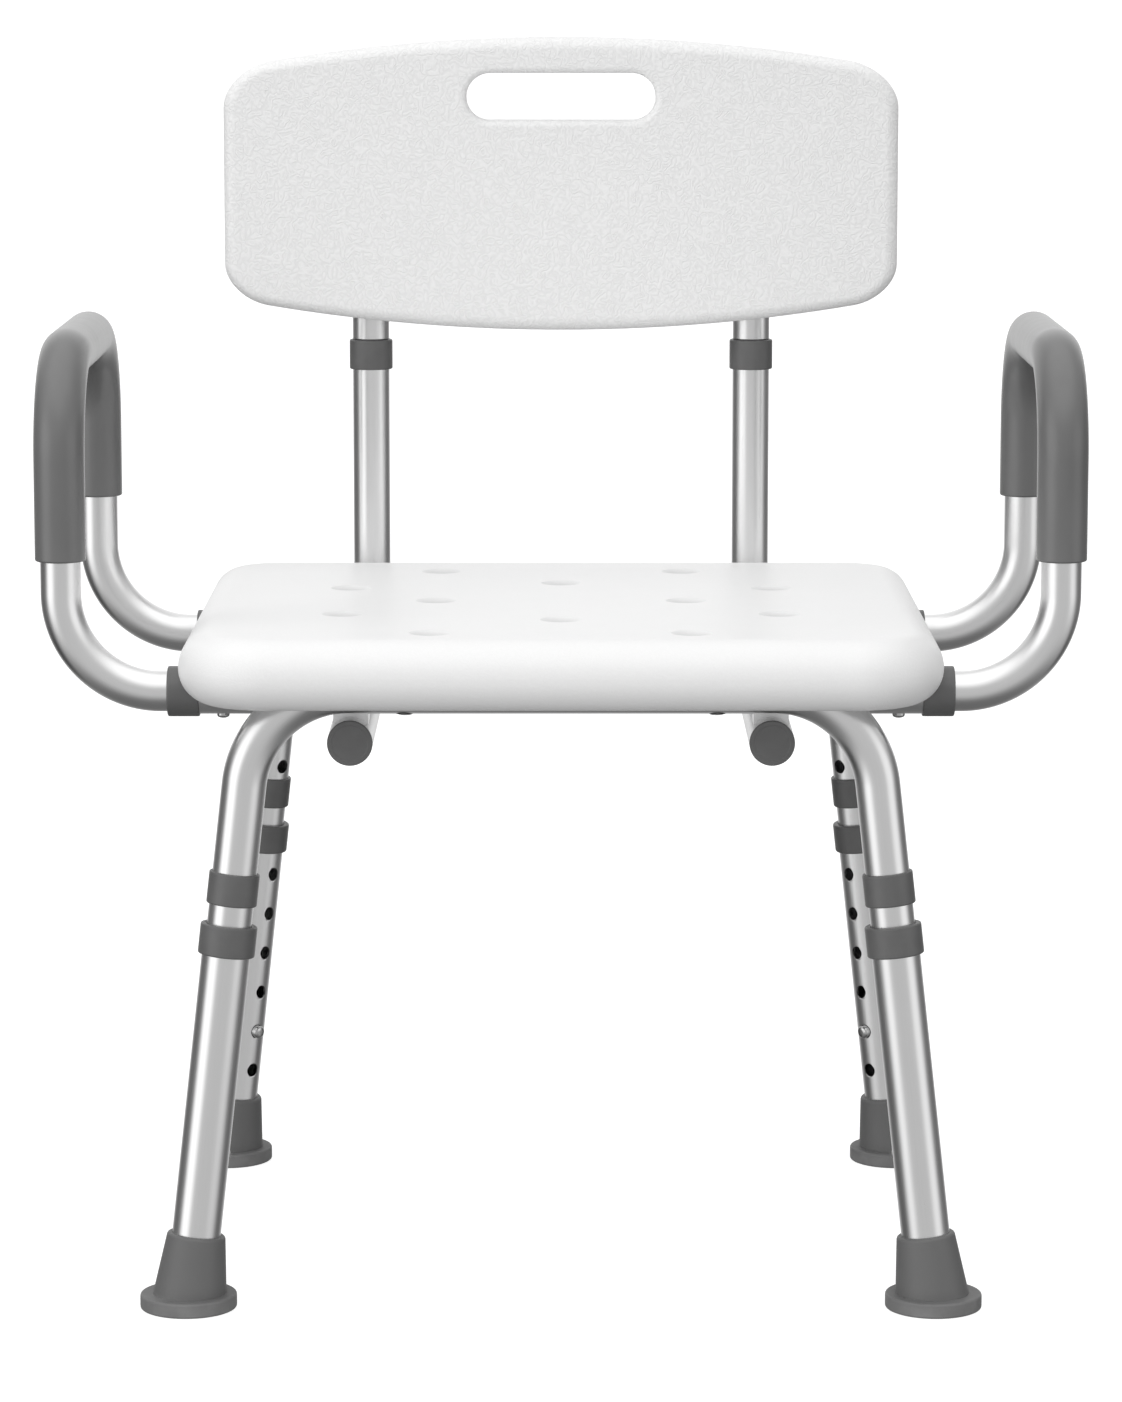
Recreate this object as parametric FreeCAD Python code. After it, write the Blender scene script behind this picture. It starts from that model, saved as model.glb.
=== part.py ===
import FreeCAD, Part

import math
import os

"""Height-adjustable shower chair: moulded seat and backrest on an aluminium tube frame.

X is to the sitter's left-right, the front faces -Y, Z is up, and the four feet stand on z = 0.
Two inverted-U leg frames lie side by side with two arm-socket tubes under the seat, and two
front-to-back tubes below those hold the posts of the backrest. Sizes are in millimetres.
"""

V = FreeCAD.Vector
X, Y, Z = V(1, 0, 0), V(0, 1, 0), V(0, 0, 1)
LEFT, RIGHT = -1, 1
FRONT, REAR = -1, 1
SIDES = {"left": LEFT, "right": RIGHT}
ENDS = {"front": FRONT, "rear": REAR}

# ---- tube sizes -------------------------------------------------------------------------
FIT = 0.05                    # radial clearance of a tube sliding in a tube
GAP = 0.3                     # radial clearance of loose neighbours
ARM_R = 12.7                  # arm tubes and backrest posts, 25.4 mm outside
ARM_WALL = 1.5
SOCKET_WALL = 1.5
SOCKET_R = ARM_R + FIT + SOCKET_WALL
LEG_R = 14.0                  # upper leg tube, 28 mm outside
LEG_WALL = 1.2
LOWER_WALL = 1.25
LOWER_R = LEG_R + FIT + LOWER_WALL
SPIGOT_R = ARM_R - ARM_WALL - FIT

# ---- legs -------------------------------------------------------------------------------
FLOOR_X = 235.1               # leg axis at the floor
LEG_SLOPE_X = 0.112           # spread of the legs per millimetre of height
LEG_SLOPE_Y = 0.04
LEG_FRAME_Y = 178.5           # leg frame's top tube, before and behind the centre
LEG_FRAME_Z = 391.0
LEG_BEND = 66.0
UPPER_END_Z = 80.0            # lower end of the upper leg tube
STOP_RING_Z = (256.8, 277.0)
STOP_RING_R = 15.9
COLLAR_Z = (224.8, 244.1)
COLLAR_R = 17.9
LIP = 1.2
RING_EDGE = 0.8               # broken edge of a stop ring
LOWER_END_Z = 12.0
HOLE_PITCH = 28.2             # height between two adjusting holes
BUTTON_Z = 96.7               # height of the hole that the button stands in
HOLES_ABOVE, HOLES_BELOW = 4, 1
SPARE_HOLE_Z = 286.0
FOOT_R = 30.5
FOOT_FLANGE = 9.5
FOOT_TOP_Z = 47.2
FOOT_BASE_R, FOOT_TOP_R = 23.6, 18.3
FOOT_BORE_Z = 9.0
FOOT_EDGE, CUP_EDGE = 1.5, 1.2
WASHER_R, WASHER_T = 14.0, 2.0

# ---- arms -------------------------------------------------------------------------------
ARM_X = 313.5
ARM_FRONT_Y, ARM_REAR_Y = -150.0, 115.0
ARM_Z = 386.5
ARM_TOP_Z = 594.0
ARM_BEND = 62.0
ARM_INNER_X = 152.0           # inner ends of an arm in its sockets
SOCKET_END_X = 245.6
ARM_COLLAR_X = (227.0, 247.1)
ARM_COLLAR_R = 15.9
GRIP_R = 16.0
GRIP_WALL_GAP = 0.02
GRIP_FRONT_Z, GRIP_REAR_Z = 469.0, 481.0
ARM_BUTTON_X = 212.4

# ---- backrest posts and their sockets ---------------------------------------------------
POST_X, POST_Y = 131.8, 211.0
BACK_SOCKET_Z = ARM_Z - 2 * SOCKET_R
BACK_SOCKET_Y = (-178.0, 160.0)
POST_BEND = 40.0
POST_INNER_Y = -20.0
POST_TOP_Z = 577.7
POST_COLLAR_Z = (558.7, 579.2)
POST_COLLAR_R = 14.9
POST_BUTTON_Y = 140.0
PLUG_DEPTH, PLUG_HEAD = 14.0, 2.5
PLUG_EDGE, PLUG_TAPER, PLUG_TIP = 0.8, 1.5, 2.0
SADDLE_HALF_X, SADDLE_HALF_Y = 11.0, 13.0
SADDLE_LOW, SADDLE_HIGH = 6.0, 8.0        # how far a saddle reaches into each tube's circle

# ---- seat -------------------------------------------------------------------------------
SEAT_X = 239.0
SEAT_FRONT_Y, SEAT_REAR_Y = -226.0, 194.0
SEAT_Z = (382.5, 427.5)
SEAT_EDGE = 22.0
SEAT_CORNER_FRONT, SEAT_CORNER_REAR = 56.0, 42.0
SEAT_WALL = 3.2
CHANNEL_GAP = 0.4
DRAIN_MIDDLE_Y = -26.0
DRAIN_PAIRS = ((81.5, 152.7), (0.0, 90.5), (139.5, 64.5))
DRAIN_R, DRAIN_DISH_R, DRAIN_DISH = 4.5, 12.0, 3.0
PILLAR_R = 14.5
SCREW_R, SCREW_HEAD_R, SCREW_HEAD, SCREW_TIP = 2.5, 4.8, 2.3, 2.0
SCREW_BITE = 9.0              # depth of a seat screw in the seat
BOSS_R = 6.0
SEAT_SCREW_X = 98.0

# ---- backrest ---------------------------------------------------------------------------
BACK_X = 231.5
BACK_Z = (587.0, 787.5)
BACK_Y = (184.0, 212.0)
BACK_BOW = 1215.0             # radius of the bowed top and bottom edges
BACK_CORNER = 25.0
BACK_EDGE = 9.0
BACK_WALL = 3.0
SLOT_Z = (731.3, 763.8)
SLOT_HALF = 65.0
SLOT_EDGE = 4.5
BACK_TUBE_TOP = 722.0
SPIGOT_END_Z = 500.0
BACK_BUTTON_Z = 538.0
BACK_SCREW_Z = (630.0, 700.0)
BACK_SCREW_BITE, BACK_SCREW_HOLE = 6.0, 7.0
NECK = 4.0                    # length of a back tube's tapered neck
SHOULDER_EDGE_R, SHOULDER_EDGE = 0.4, 0.5

# ---- snap buttons -----------------------------------------------------------------------
BUTTON_R = 4.0
BUTTON_HOLE_R = BUTTON_R + FIT + FIT
BUTTON_FLANGE = 1.0
BUTTON_LIP = 0.8              # how far the flange stands out around the button
BUTTON_DOME, BUTTON_CROWN = 1.6, 0.2
CLIP_LENGTH, CLIP_WIDTH, CLIP_THICK = 42.0, 8.0, 0.8
CLIP_PAD = 1.0                # how much longer than the button a clip's end is
CLIP_WALL_GAP = 1.5
LEG_STAND, SOCKET_STAND, BACK_STAND = 2.8, 2.6, 2.3      # how far each kind of button stands out

PAST = 20.0                   # how far a cutter runs past what it cuts


def write(name, shapes):
    """Write one node as parts/NAME.step."""
    shapes = shapes if isinstance(shapes, list) else [shapes]
    shape = shapes[0] if len(shapes) == 1 else Part.makeCompound(shapes)
    shape.exportStep("parts/" + name + ".step")
    volume = sum(s.Volume for s in shape.Solids)
    print(name, len(shape.Solids), "solids", round(volume), "mm3", shape.isValid())


def section(centre, direction, outer, inner):
    """A disc, or a ring where inner is above 0, square to direction."""
    rims = [Part.Wire(Part.makeCircle(outer, centre, direction))]
    if inner > 0:
        rims.append(Part.Wire(Part.makeCircle(inner, centre, direction)))
    return Part.makeFace(rims, "Part::FaceMakerBullseye")


def run(points, bend, outer, inner=0.0):
    """A round bar or tube along straight runs that arcs of radius bend join."""
    pieces = []
    start = points[0]
    for before, corner, after in zip(points, points[1:], points[2:]):
        come = (corner - before).normalize()
        go = (after - corner).normalize()
        turn = come.getAngle(go)
        reach = bend * math.tan(turn / 2)
        entry = corner - come * reach
        pieces.append(section(start, come, outer, inner).extrude(entry - start))
        axis = come.cross(go).normalize()
        centre = entry + axis.cross(come) * bend
        pieces.append(section(entry, come, outer, inner).revolve(centre, axis, math.degrees(turn)))
        start = corner + go * reach
    last = (points[-1] - start).normalize()
    pieces.append(section(start, last, outer, inner).extrude(points[-1] - start))
    return pieces[0] if len(pieces) == 1 else pieces[0].fuse(pieces[1:]).removeSplitter()


def bar(start, end, outer, inner=0.0):
    """A straight round bar or tube."""
    return run([start, end], 0.0, outer, inner)


def turned(profile, origin, axis):
    """A solid of revolution about axis from (radius, height) points, height from origin."""
    points = [V(r, 0, h) for r, h in profile]
    face = Part.Face(Part.makePolygon(points + points[:1]))
    solid = face.revolve(V(0, 0, 0), Z, 360)
    solid.Placement = FreeCAD.Placement(origin, FreeCAD.Rotation(Z, axis))
    return solid


def sleeve(origin, axis, length, outer, inner, lip_inner, lip, edge=1.0):
    """A collar with broken outer edges, whose far end is a lip of smaller bore."""
    profile = [
        (inner, 0), (outer - edge, 0), (outer, edge), (outer, length - edge),
        (outer - edge, length), (lip_inner, length), (lip_inner, length - lip), (inner, length - lip),
    ]
    return turned(profile, origin, axis)


def box(low, high):
    """A block between two corners."""
    size = high - low
    return Part.makeBox(size.x, size.y, size.z, low)


# ---- snap buttons and their spring clips ------------------------------------------------

def snap_button(centre, facing, seat_r, tip_r):
    """A domed button on a flange: seat_r is where the flange rests, tip_r is the dome's top."""
    low = seat_r - BUTTON_FLANGE
    flange_r = BUTTON_R + BUTTON_LIP
    profile = [
        (0, low), (flange_r, low), (flange_r, seat_r), (BUTTON_R, seat_r),
        (BUTTON_R, tip_r - BUTTON_DOME), (BUTTON_R * 0.86, tip_r - BUTTON_DOME * 0.45),
        (BUTTON_R * 0.5, tip_r - BUTTON_CROWN), (0, tip_r),
    ]
    return turned(profile, centre, facing)


def clip(centre, facing, along, seat_r, wall_r):
    """A V of spring strip inside a tube, from under the button to the opposite wall."""
    foot = seat_r - BUTTON_FLANGE - FIT
    far = CLIP_WALL_GAP - wall_r
    half = BUTTON_R + CLIP_PAD
    outline = [
        (foot, -half), (foot, half), (CLIP_THICK, CLIP_LENGTH), (-CLIP_THICK, CLIP_LENGTH),
        (far, -half), (far + CLIP_THICK, -half), (0, CLIP_LENGTH - 3 * CLIP_THICK),
        (foot - CLIP_THICK, half), (foot - CLIP_THICK, -half),
    ]
    across = facing.cross(along).normalize()
    points = [centre + facing * f + along * a - across * (CLIP_WIDTH / 2) for f, a in outline]
    return Part.Face(Part.makePolygon(points + points[:1])).extrude(across * CLIP_WIDTH)


def hole(centre, facing, tube_r):
    """The cutter of a button hole through one side of a tube."""
    return bar(centre, centre + facing * (tube_r + BUTTON_R), BUTTON_HOLE_R)


# ---- legs -------------------------------------------------------------------------------

def leg_point(side, end, z):
    """The point of a leg's axis at height z."""
    return V(side * (FLOOR_X - LEG_SLOPE_X * z), end * (LEG_FRAME_Y + LEG_SLOPE_Y * (LEG_FRAME_Z - z)), z)


def leg_up(side, end):
    """The direction of a leg's axis, upwards."""
    return (leg_point(side, end, 1.0) - leg_point(side, end, 0.0)).normalize()


def leg_facing(side, end):
    """The direction that a leg's adjusting holes face: square to the leg, to the chair's middle."""
    up = leg_up(side, end)
    inward = V(-side, -end, 0)
    return (inward - up * inward.dot(up)).normalize()


def leg_frame_path(end):
    """The corners of an inverted-U leg frame, from one lower end to the other."""
    return [
        leg_point(LEFT, end, UPPER_END_Z), leg_point(LEFT, end, LEG_FRAME_Z),
        leg_point(RIGHT, end, LEG_FRAME_Z), leg_point(RIGHT, end, UPPER_END_Z),
    ]


def leg_frame(end):
    """The bent upper leg tube with its button holes and screw holes."""
    tube = run(leg_frame_path(end), LEG_BEND, LEG_R, LEG_R - LEG_WALL)
    for side in SIDES.values():
        for z in (BUTTON_Z, SPARE_HOLE_Z):
            tube = tube.cut(hole(leg_point(side, end, z), leg_facing(side, end), LEG_R))
        tube = tube.cut(screw_hole(side * SEAT_SCREW_X, end * LEG_FRAME_Y, LEG_FRAME_Z, LEG_R))
    return tube


def lower_leg(side, end):
    """The sliding lower leg tube with its row of adjusting holes."""
    tube = bar(leg_point(side, end, LOWER_END_Z), leg_point(side, end, COLLAR_Z[1] - LIP), LOWER_R, LEG_R + FIT)
    for step in range(-HOLES_BELOW, HOLES_ABOVE + 1):
        centre = leg_point(side, end, BUTTON_Z + step * HOLE_PITCH)
        tube = tube.cut(hole(centre, leg_facing(side, end), LOWER_R))
    return tube


def leg_collar(side, end):
    """The plastic collar on the mouth of a lower leg tube."""
    low = leg_point(side, end, COLLAR_Z[0])
    high = leg_point(side, end, COLLAR_Z[1])
    return sleeve(low, leg_up(side, end), (high - low).Length, COLLAR_R, LOWER_R, LEG_R + GAP, LIP)


def stop_ring(side, end):
    """The plastic ring on the upper tube that the lower leg's collar stops under."""
    low = leg_point(side, end, STOP_RING_Z[0])
    high = leg_point(side, end, STOP_RING_Z[1])
    return sleeve(low, leg_up(side, end), (high - low).Length, STOP_RING_R, LEG_R, LEG_R, LIP, RING_EDGE)


def foot(side, end):
    """A rubber foot: a round flange flat on the floor and a tapered cup along the leg."""
    floor = leg_point(side, end, 0.0)
    rim = FOOT_R - FOOT_EDGE
    profile = [
        (0, 0), (rim, 0), (FOOT_R, FOOT_EDGE), (FOOT_R, FOOT_FLANGE - FOOT_EDGE),
        (rim, FOOT_FLANGE), (0, FOOT_FLANGE),
    ]
    flange = turned(profile, floor, Z)
    up = leg_up(side, end)
    base = leg_point(side, end, FOOT_FLANGE / 2)
    top = leg_point(side, end, FOOT_TOP_Z)
    height = (top - base).Length
    profile = [
        (0, 0), (FOOT_BASE_R, 0), (FOOT_TOP_R, height - CUP_EDGE),
        (FOOT_TOP_R - CUP_EDGE, height), (0, height),
    ]
    cup = turned(profile, base, up)
    bore = bar(leg_point(side, end, FOOT_BORE_Z), leg_point(side, end, FOOT_TOP_Z + FOOT_R), LOWER_R)
    return flange.fuse(cup).cut(bore)


def washer(side, end):
    """The steel disc between a lower leg tube's end and its rubber foot."""
    low = leg_point(side, end, FOOT_BORE_Z)
    return bar(low, low + leg_up(side, end) * WASHER_T, WASHER_R)


# ---- screws -----------------------------------------------------------------------------

def screw_hole(x, y, z, tube_r):
    """The cutter of an upright screw hole right through a level tube."""
    return bar(V(x, y, z - tube_r - 1), V(x, y, z + tube_r + 1), SCREW_R + FIT)


def pan_head_screw(under_head, direction, reach):
    """A pan-head screw whose shank runs along direction for reach."""
    profile = [
        (0, -SCREW_HEAD), (SCREW_HEAD_R * 0.6, -SCREW_HEAD), (SCREW_HEAD_R, -SCREW_HEAD * 0.35),
        (SCREW_HEAD_R, 0), (SCREW_R, 0), (SCREW_R, reach - SCREW_TIP), (0, reach),
    ]
    return turned(profile, under_head, direction)


def seat_screw(x, y, z, tube_r):
    """A screw from under a level tube into the seat."""
    return pan_head_screw(V(x, y, z - tube_r), Z, 2 * tube_r + SCREW_BITE)


# The seat's screws: x, y, the tube's height and its radius.
SEAT_SCREWS = [
    (side * SEAT_SCREW_X, y, z, r)
    for side in SIDES.values()
    for y, z, r in (
        (-LEG_FRAME_Y, LEG_FRAME_Z, LEG_R), (LEG_FRAME_Y, LEG_FRAME_Z, LEG_R),
        (ARM_FRONT_Y, ARM_Z, SOCKET_R), (ARM_REAR_Y, ARM_Z, SOCKET_R),
    )
]


# ---- arms and their sockets -------------------------------------------------------------

def arm_socket(y):
    """The level tube under the seat that the two arms slide into."""
    tube = bar(V(-SOCKET_END_X, y, ARM_Z), V(SOCKET_END_X, y, ARM_Z), SOCKET_R, ARM_R + FIT)
    for side in SIDES.values():
        tube = tube.cut(hole(V(side * ARM_BUTTON_X, y, ARM_Z), -Z, SOCKET_R))
        tube = tube.cut(screw_hole(side * SEAT_SCREW_X, y, ARM_Z, SOCKET_R))
    return tube


def arm_collar(side, y):
    """The plastic collar on a socket's mouth."""
    origin = V(side * ARM_COLLAR_X[0], y, ARM_Z)
    length = ARM_COLLAR_X[1] - ARM_COLLAR_X[0]
    return sleeve(origin, X * side, length, ARM_COLLAR_R, SOCKET_R, ARM_R + GAP, ARM_COLLAR_X[1] - SOCKET_END_X)


def arm_path(side):
    """The corners of an arm: in from the front socket, up, back over the top, down and in."""
    x, inner = side * ARM_X, side * ARM_INNER_X
    return [
        V(inner, ARM_FRONT_Y, ARM_Z), V(x, ARM_FRONT_Y, ARM_Z), V(x, ARM_FRONT_Y, ARM_TOP_Z),
        V(x, ARM_REAR_Y, ARM_TOP_Z), V(x, ARM_REAR_Y, ARM_Z), V(inner, ARM_REAR_Y, ARM_Z),
    ]


def arm_tube(side):
    """One arm, a single bent tube."""
    tube = run(arm_path(side), ARM_BEND, ARM_R, ARM_R - ARM_WALL)
    for y in (ARM_FRONT_Y, ARM_REAR_Y):
        tube = tube.cut(hole(V(side * ARM_BUTTON_X, y, ARM_Z), -Z, ARM_R))
    return tube


def arm_grip(side):
    """The soft sleeve over an arm's top run and the upper part of its uprights."""
    x = side * ARM_X
    path = [
        V(x, ARM_FRONT_Y, GRIP_FRONT_Z), V(x, ARM_FRONT_Y, ARM_TOP_Z),
        V(x, ARM_REAR_Y, ARM_TOP_Z), V(x, ARM_REAR_Y, GRIP_REAR_Z),
    ]
    return run(path, ARM_BEND, GRIP_R, ARM_R + GRIP_WALL_GAP)


# ---- backrest posts and sockets ---------------------------------------------------------

def back_socket(side):
    """A front-to-back tube under the frame that a backrest post slides into."""
    x = side * POST_X
    start, end = (V(x, y, BACK_SOCKET_Z) for y in BACK_SOCKET_Y)
    tube = bar(start, end, SOCKET_R, ARM_R + FIT)
    return tube.cut(hole(V(x, POST_BUTTON_Y, BACK_SOCKET_Z), -Z, SOCKET_R))


def socket_plug(side):
    """The plastic plug in a back socket's front end."""
    inner = ARM_R + FIT
    tip = PLUG_HEAD + PLUG_DEPTH
    profile = [
        (0, 0), (SOCKET_R - PLUG_EDGE, 0), (SOCKET_R, PLUG_EDGE), (SOCKET_R, PLUG_HEAD),
        (inner, PLUG_HEAD), (inner, tip - PLUG_TIP), (inner - PLUG_TAPER, tip), (0, tip),
    ]
    return turned(profile, V(side * POST_X, BACK_SOCKET_Y[0] - PLUG_HEAD, BACK_SOCKET_Z), Y)


def saddle(side, y, neighbours):
    """The block that joins a back socket to the level tube above it."""
    x = side * POST_X
    low = V(x - SADDLE_HALF_X, y - SADDLE_HALF_Y, BACK_SOCKET_Z + SADDLE_LOW)
    high = V(x + SADDLE_HALF_X, y + SADDLE_HALF_Y, ARM_Z - SADDLE_HIGH)
    block = box(low, high)
    for neighbour in neighbours:
        block = block.cut(neighbour)
    return max(block.Solids, key=lambda s: s.Volume)


def post(side):
    """An L-shaped backrest post."""
    x = side * POST_X
    path = [V(x, POST_INNER_Y, BACK_SOCKET_Z), V(x, POST_Y, BACK_SOCKET_Z), V(x, POST_Y, POST_TOP_Z)]
    tube = run(path, POST_BEND, ARM_R, ARM_R - ARM_WALL)
    tube = tube.cut(hole(V(x, POST_BUTTON_Y, BACK_SOCKET_Z), -Z, ARM_R))
    return tube.cut(hole(V(x, POST_Y, BACK_BUTTON_Z), Y, ARM_R))


def post_collar(side):
    """The plastic collar on a post's mouth."""
    length = POST_COLLAR_Z[1] - POST_COLLAR_Z[0]
    lip = POST_COLLAR_Z[1] - POST_TOP_Z
    low = V(side * POST_X, POST_Y, POST_COLLAR_Z[0])
    return sleeve(low, Z, length, POST_COLLAR_R, ARM_R, SPIGOT_R + GAP, lip)


def back_tube(side):
    """The backrest's own tube with its narrowed end, which plugs into the post."""
    x = side * POST_X
    shoulder = POST_COLLAR_Z[1] + GAP
    wall_r = ARM_R - ARM_WALL
    spigot_wall_r = SPIGOT_R - ARM_WALL
    profile = [
        (spigot_wall_r, SPIGOT_END_Z), (SPIGOT_R, SPIGOT_END_Z), (SPIGOT_R, shoulder),
        (ARM_R - SHOULDER_EDGE_R, shoulder), (ARM_R, shoulder + SHOULDER_EDGE), (ARM_R, BACK_TUBE_TOP),
        (wall_r, BACK_TUBE_TOP), (wall_r, shoulder + 2 * NECK), (spigot_wall_r, shoulder + NECK),
    ]
    tube = turned(profile, V(x, POST_Y, 0), Z)
    tube = tube.cut(hole(V(x, POST_Y, BACK_BUTTON_Z), Y, ARM_R))
    for z in BACK_SCREW_Z:
        tube = tube.cut(bar(V(x, POST_Y - ARM_R - 1, z), V(x, POST_Y + ARM_R + 1, z), SCREW_R + FIT))
    return tube


def back_screw(side, z):
    """A screw through a back tube into the panel."""
    return pan_head_screw(V(side * POST_X, POST_Y + ARM_R, z), -Y, 2 * ARM_R + BACK_SCREW_BITE)


# ---- moulded seat and backrest ----------------------------------------------------------

def lies_along(edge, direction):
    """Whether an edge starts along direction."""
    return abs(edge.tangentAt(edge.FirstParameter).dot(direction)) > 0.9


def trough(start, end, radius, opening):
    """The cutter of a U-shaped channel from start to end, open along the vector opening."""
    across = (end - start).cross(opening).normalize() * radius
    floor = start - V(opening).normalize() * radius
    corners = [start + across, start + across + opening, start - across + opening, start - across]
    edges = [Part.makeLine(a, b) for a, b in zip(corners, corners[1:])]
    edges.append(Part.Arc(corners[3], floor, corners[0]).toShape())
    return Part.Face(Part.Wire(edges)).extrude(end - start)


def pad(inset):
    """The seat's outer shape, shrunk by inset: a rounded plate with a full round edge."""
    half = SEAT_X - inset
    low_y, high_y = SEAT_FRONT_Y + inset, SEAT_REAR_Y - inset
    low_z, high_z = SEAT_Z[0] + inset, SEAT_Z[1] - inset
    plate = box(V(-half, low_y, low_z), V(half, high_y, high_z))
    for y, corner in ((low_y, SEAT_CORNER_FRONT), (high_y, SEAT_CORNER_REAR)):
        edges = [e for e in plate.Edges if lies_along(e, Z) and abs(e.CenterOfMass.y - y) < FIT]
        plate = plate.makeFillet(corner - inset, edges)
    rims = [e for e in plate.Edges if e.BoundBox.ZLength < FIT]
    return plate.makeFillet(SEAT_EDGE - inset, rims)


def drain_places():
    """The centres of the twelve drain holes, in staggered rows."""
    places = []
    for x, reach in DRAIN_PAIRS:
        for side in ((LEFT, RIGHT) if x else (LEFT,)):
            places += [(side * x, DRAIN_MIDDLE_Y + end * reach) for end in ENDS.values()]
    places += [(side * DRAIN_PAIRS[0][0], DRAIN_MIDDLE_Y + 1.0) for side in SIDES.values()]
    return places


def drain(x, y):
    """The cutter of a drain hole with its shallow dish."""
    top = SEAT_Z[1]
    dish = Part.makeCone(DRAIN_R, DRAIN_DISH_R, DRAIN_DISH, V(x, y, top - DRAIN_DISH))
    return dish.fuse(bar(V(x, y, SEAT_Z[0] - GAP), V(x, y, top), DRAIN_R))


def channels(extra):
    """Room for the level tubes in the seat's underside, grown by extra."""
    down = Z * -PAST
    outside = SEAT_X + PAST
    cutters = []
    for y in (ARM_FRONT_Y, ARM_REAR_Y):
        cutters.append(trough(V(-outside, y, ARM_Z), V(outside, y, ARM_Z), SOCKET_R + extra, down))
        for side in SIDES.values():
            near = side * (ARM_COLLAR_X[0] - GAP - extra)
            cutters.append(trough(V(near, y, ARM_Z), V(side * outside, y, ARM_Z), ARM_COLLAR_R + extra, down))
    straight = FLOOR_X - LEG_SLOPE_X * LEG_FRAME_Z - LEG_BEND
    for end in ENDS.values():
        y = end * LEG_FRAME_Y
        cutters.append(run(leg_frame_path(end), LEG_BEND, LEG_R + extra))
        cutters.append(trough(V(-straight, y, LEG_FRAME_Z), V(straight, y, LEG_FRAME_Z), LEG_R + extra, down))
    return cutters


def seat():
    """The hollow moulded seat."""
    cavity = pad(SEAT_WALL)
    cavity = cavity.cut(channels(CHANNEL_GAP + SEAT_WALL))
    pillars = [bar(V(x, y, SEAT_Z[0]), V(x, y, SEAT_Z[1]), PILLAR_R) for x, y in drain_places()]
    bosses = [
        bar(V(x, y, z), V(x, y, z + r + SCREW_BITE + SEAT_WALL), BOSS_R) for x, y, z, r in SEAT_SCREWS
    ]
    cavity = cavity.cut(pillars + bosses)
    body = pad(0.0).cut(channels(CHANNEL_GAP))
    body = body.cut([drain(x, y) for x, y in drain_places()])
    body = body.cut([
        bar(V(x, y, z), V(x, y, z + r + SCREW_BITE), SCREW_R + FIT) for x, y, z, r in SEAT_SCREWS
    ])
    body = body.cut(cavity.Solids)
    return max(body.Solids, key=lambda s: s.Volume)


def bowed_plate(inset, low_y, high_y):
    """The backrest's outline, shrunk by inset, as a plate between two depths."""
    half = BACK_X - inset
    drop = BACK_BOW - math.sqrt(BACK_BOW ** 2 - half ** 2)
    low, high = BACK_Z[0] + inset, BACK_Z[1] - inset
    corners = [
        V(-half, low_y, low + drop), V(half, low_y, low + drop),
        V(half, low_y, high - drop), V(-half, low_y, high - drop),
    ]
    bottom = Part.Arc(corners[0], V(0, low_y, low), corners[1]).toShape()
    right = Part.makeLine(corners[1], corners[2])
    top = Part.Arc(corners[2], V(0, low_y, high), corners[3]).toShape()
    left = Part.makeLine(corners[3], corners[0])
    plate = Part.Face(Part.Wire([bottom, right, top, left])).extrude(V(0, high_y - low_y, 0))
    edges = [e for e in plate.Edges if lies_along(e, Y)]
    return plate.makeFillet(BACK_CORNER - inset, edges)


def slot(extra):
    """The handle slot as a block through the backrest, grown by extra."""
    r = (SLOT_Z[1] - SLOT_Z[0]) / 2 + extra
    z = (SLOT_Z[0] + SLOT_Z[1]) / 2
    reach = SLOT_HALF + extra - r
    low_y, high_y = BACK_Y[0] - PAST, BACK_Y[1] + PAST
    block = box(V(-reach, low_y, z - r), V(reach, high_y, z + r))
    ends = [bar(V(side * reach, low_y, z), V(side * reach, high_y, z), r) for side in SIDES.values()]
    return block.fuse(ends).removeSplitter()


def tube_recess(side, extra):
    """The recess behind the backrest that a back tube lies in, grown by extra."""
    r = ARM_R + CHANNEL_GAP / 2 + extra
    x = side * POST_X
    low, high = V(x, POST_Y, BACK_Z[0] - PAST), V(x, POST_Y, BACK_TUBE_TOP + CHANNEL_GAP + extra)
    return trough(low, high, r, Y * PAST)


def flat_rims(plate, half):
    """The plate's edges that lie in its front or rear face, within half of the middle."""
    return [
        e for e in plate.Edges
        if e.BoundBox.YLength < FIT and e.BoundBox.XLength < 2 * half and abs(e.CenterOfMass.x) < half
    ]


def backrest():
    """The hollow moulded backrest panel with its handle slot."""
    plate = bowed_plate(0.0, *BACK_Y)
    plate = plate.makeFillet(BACK_EDGE, flat_rims(plate, 2 * BACK_X)).cut(slot(0.0))
    rims = [e for e in flat_rims(plate, SLOT_HALF + FIT) if SLOT_Z[0] - 1 < e.CenterOfMass.z < SLOT_Z[1] + 1]
    plate = plate.makeFillet(SLOT_EDGE, rims)
    cavity = bowed_plate(BACK_WALL, BACK_Y[0] + BACK_WALL, BACK_Y[1] - BACK_WALL)
    cavity = cavity.makeFillet(BACK_EDGE - BACK_WALL, flat_rims(cavity, 2 * BACK_X))
    cavity = cavity.cut(slot(BACK_WALL + SLOT_EDGE))
    for side in SIDES.values():
        cavity = cavity.cut(tube_recess(side, BACK_WALL))
        plate = plate.cut(tube_recess(side, 0.0))
        for z in BACK_SCREW_Z:
            near = V(side * POST_X, POST_Y - ARM_R + 1, z)
            cavity = cavity.cut(bar(near, V(near.x, BACK_Y[0], z), BOSS_R))
            plate = plate.cut(bar(near, near - Y * (1 + BACK_SCREW_HOLE), SCREW_R + FIT))
    return plate.cut(cavity.Solids)


# ---- snap joints ------------------------------------------------------------------------

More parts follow.
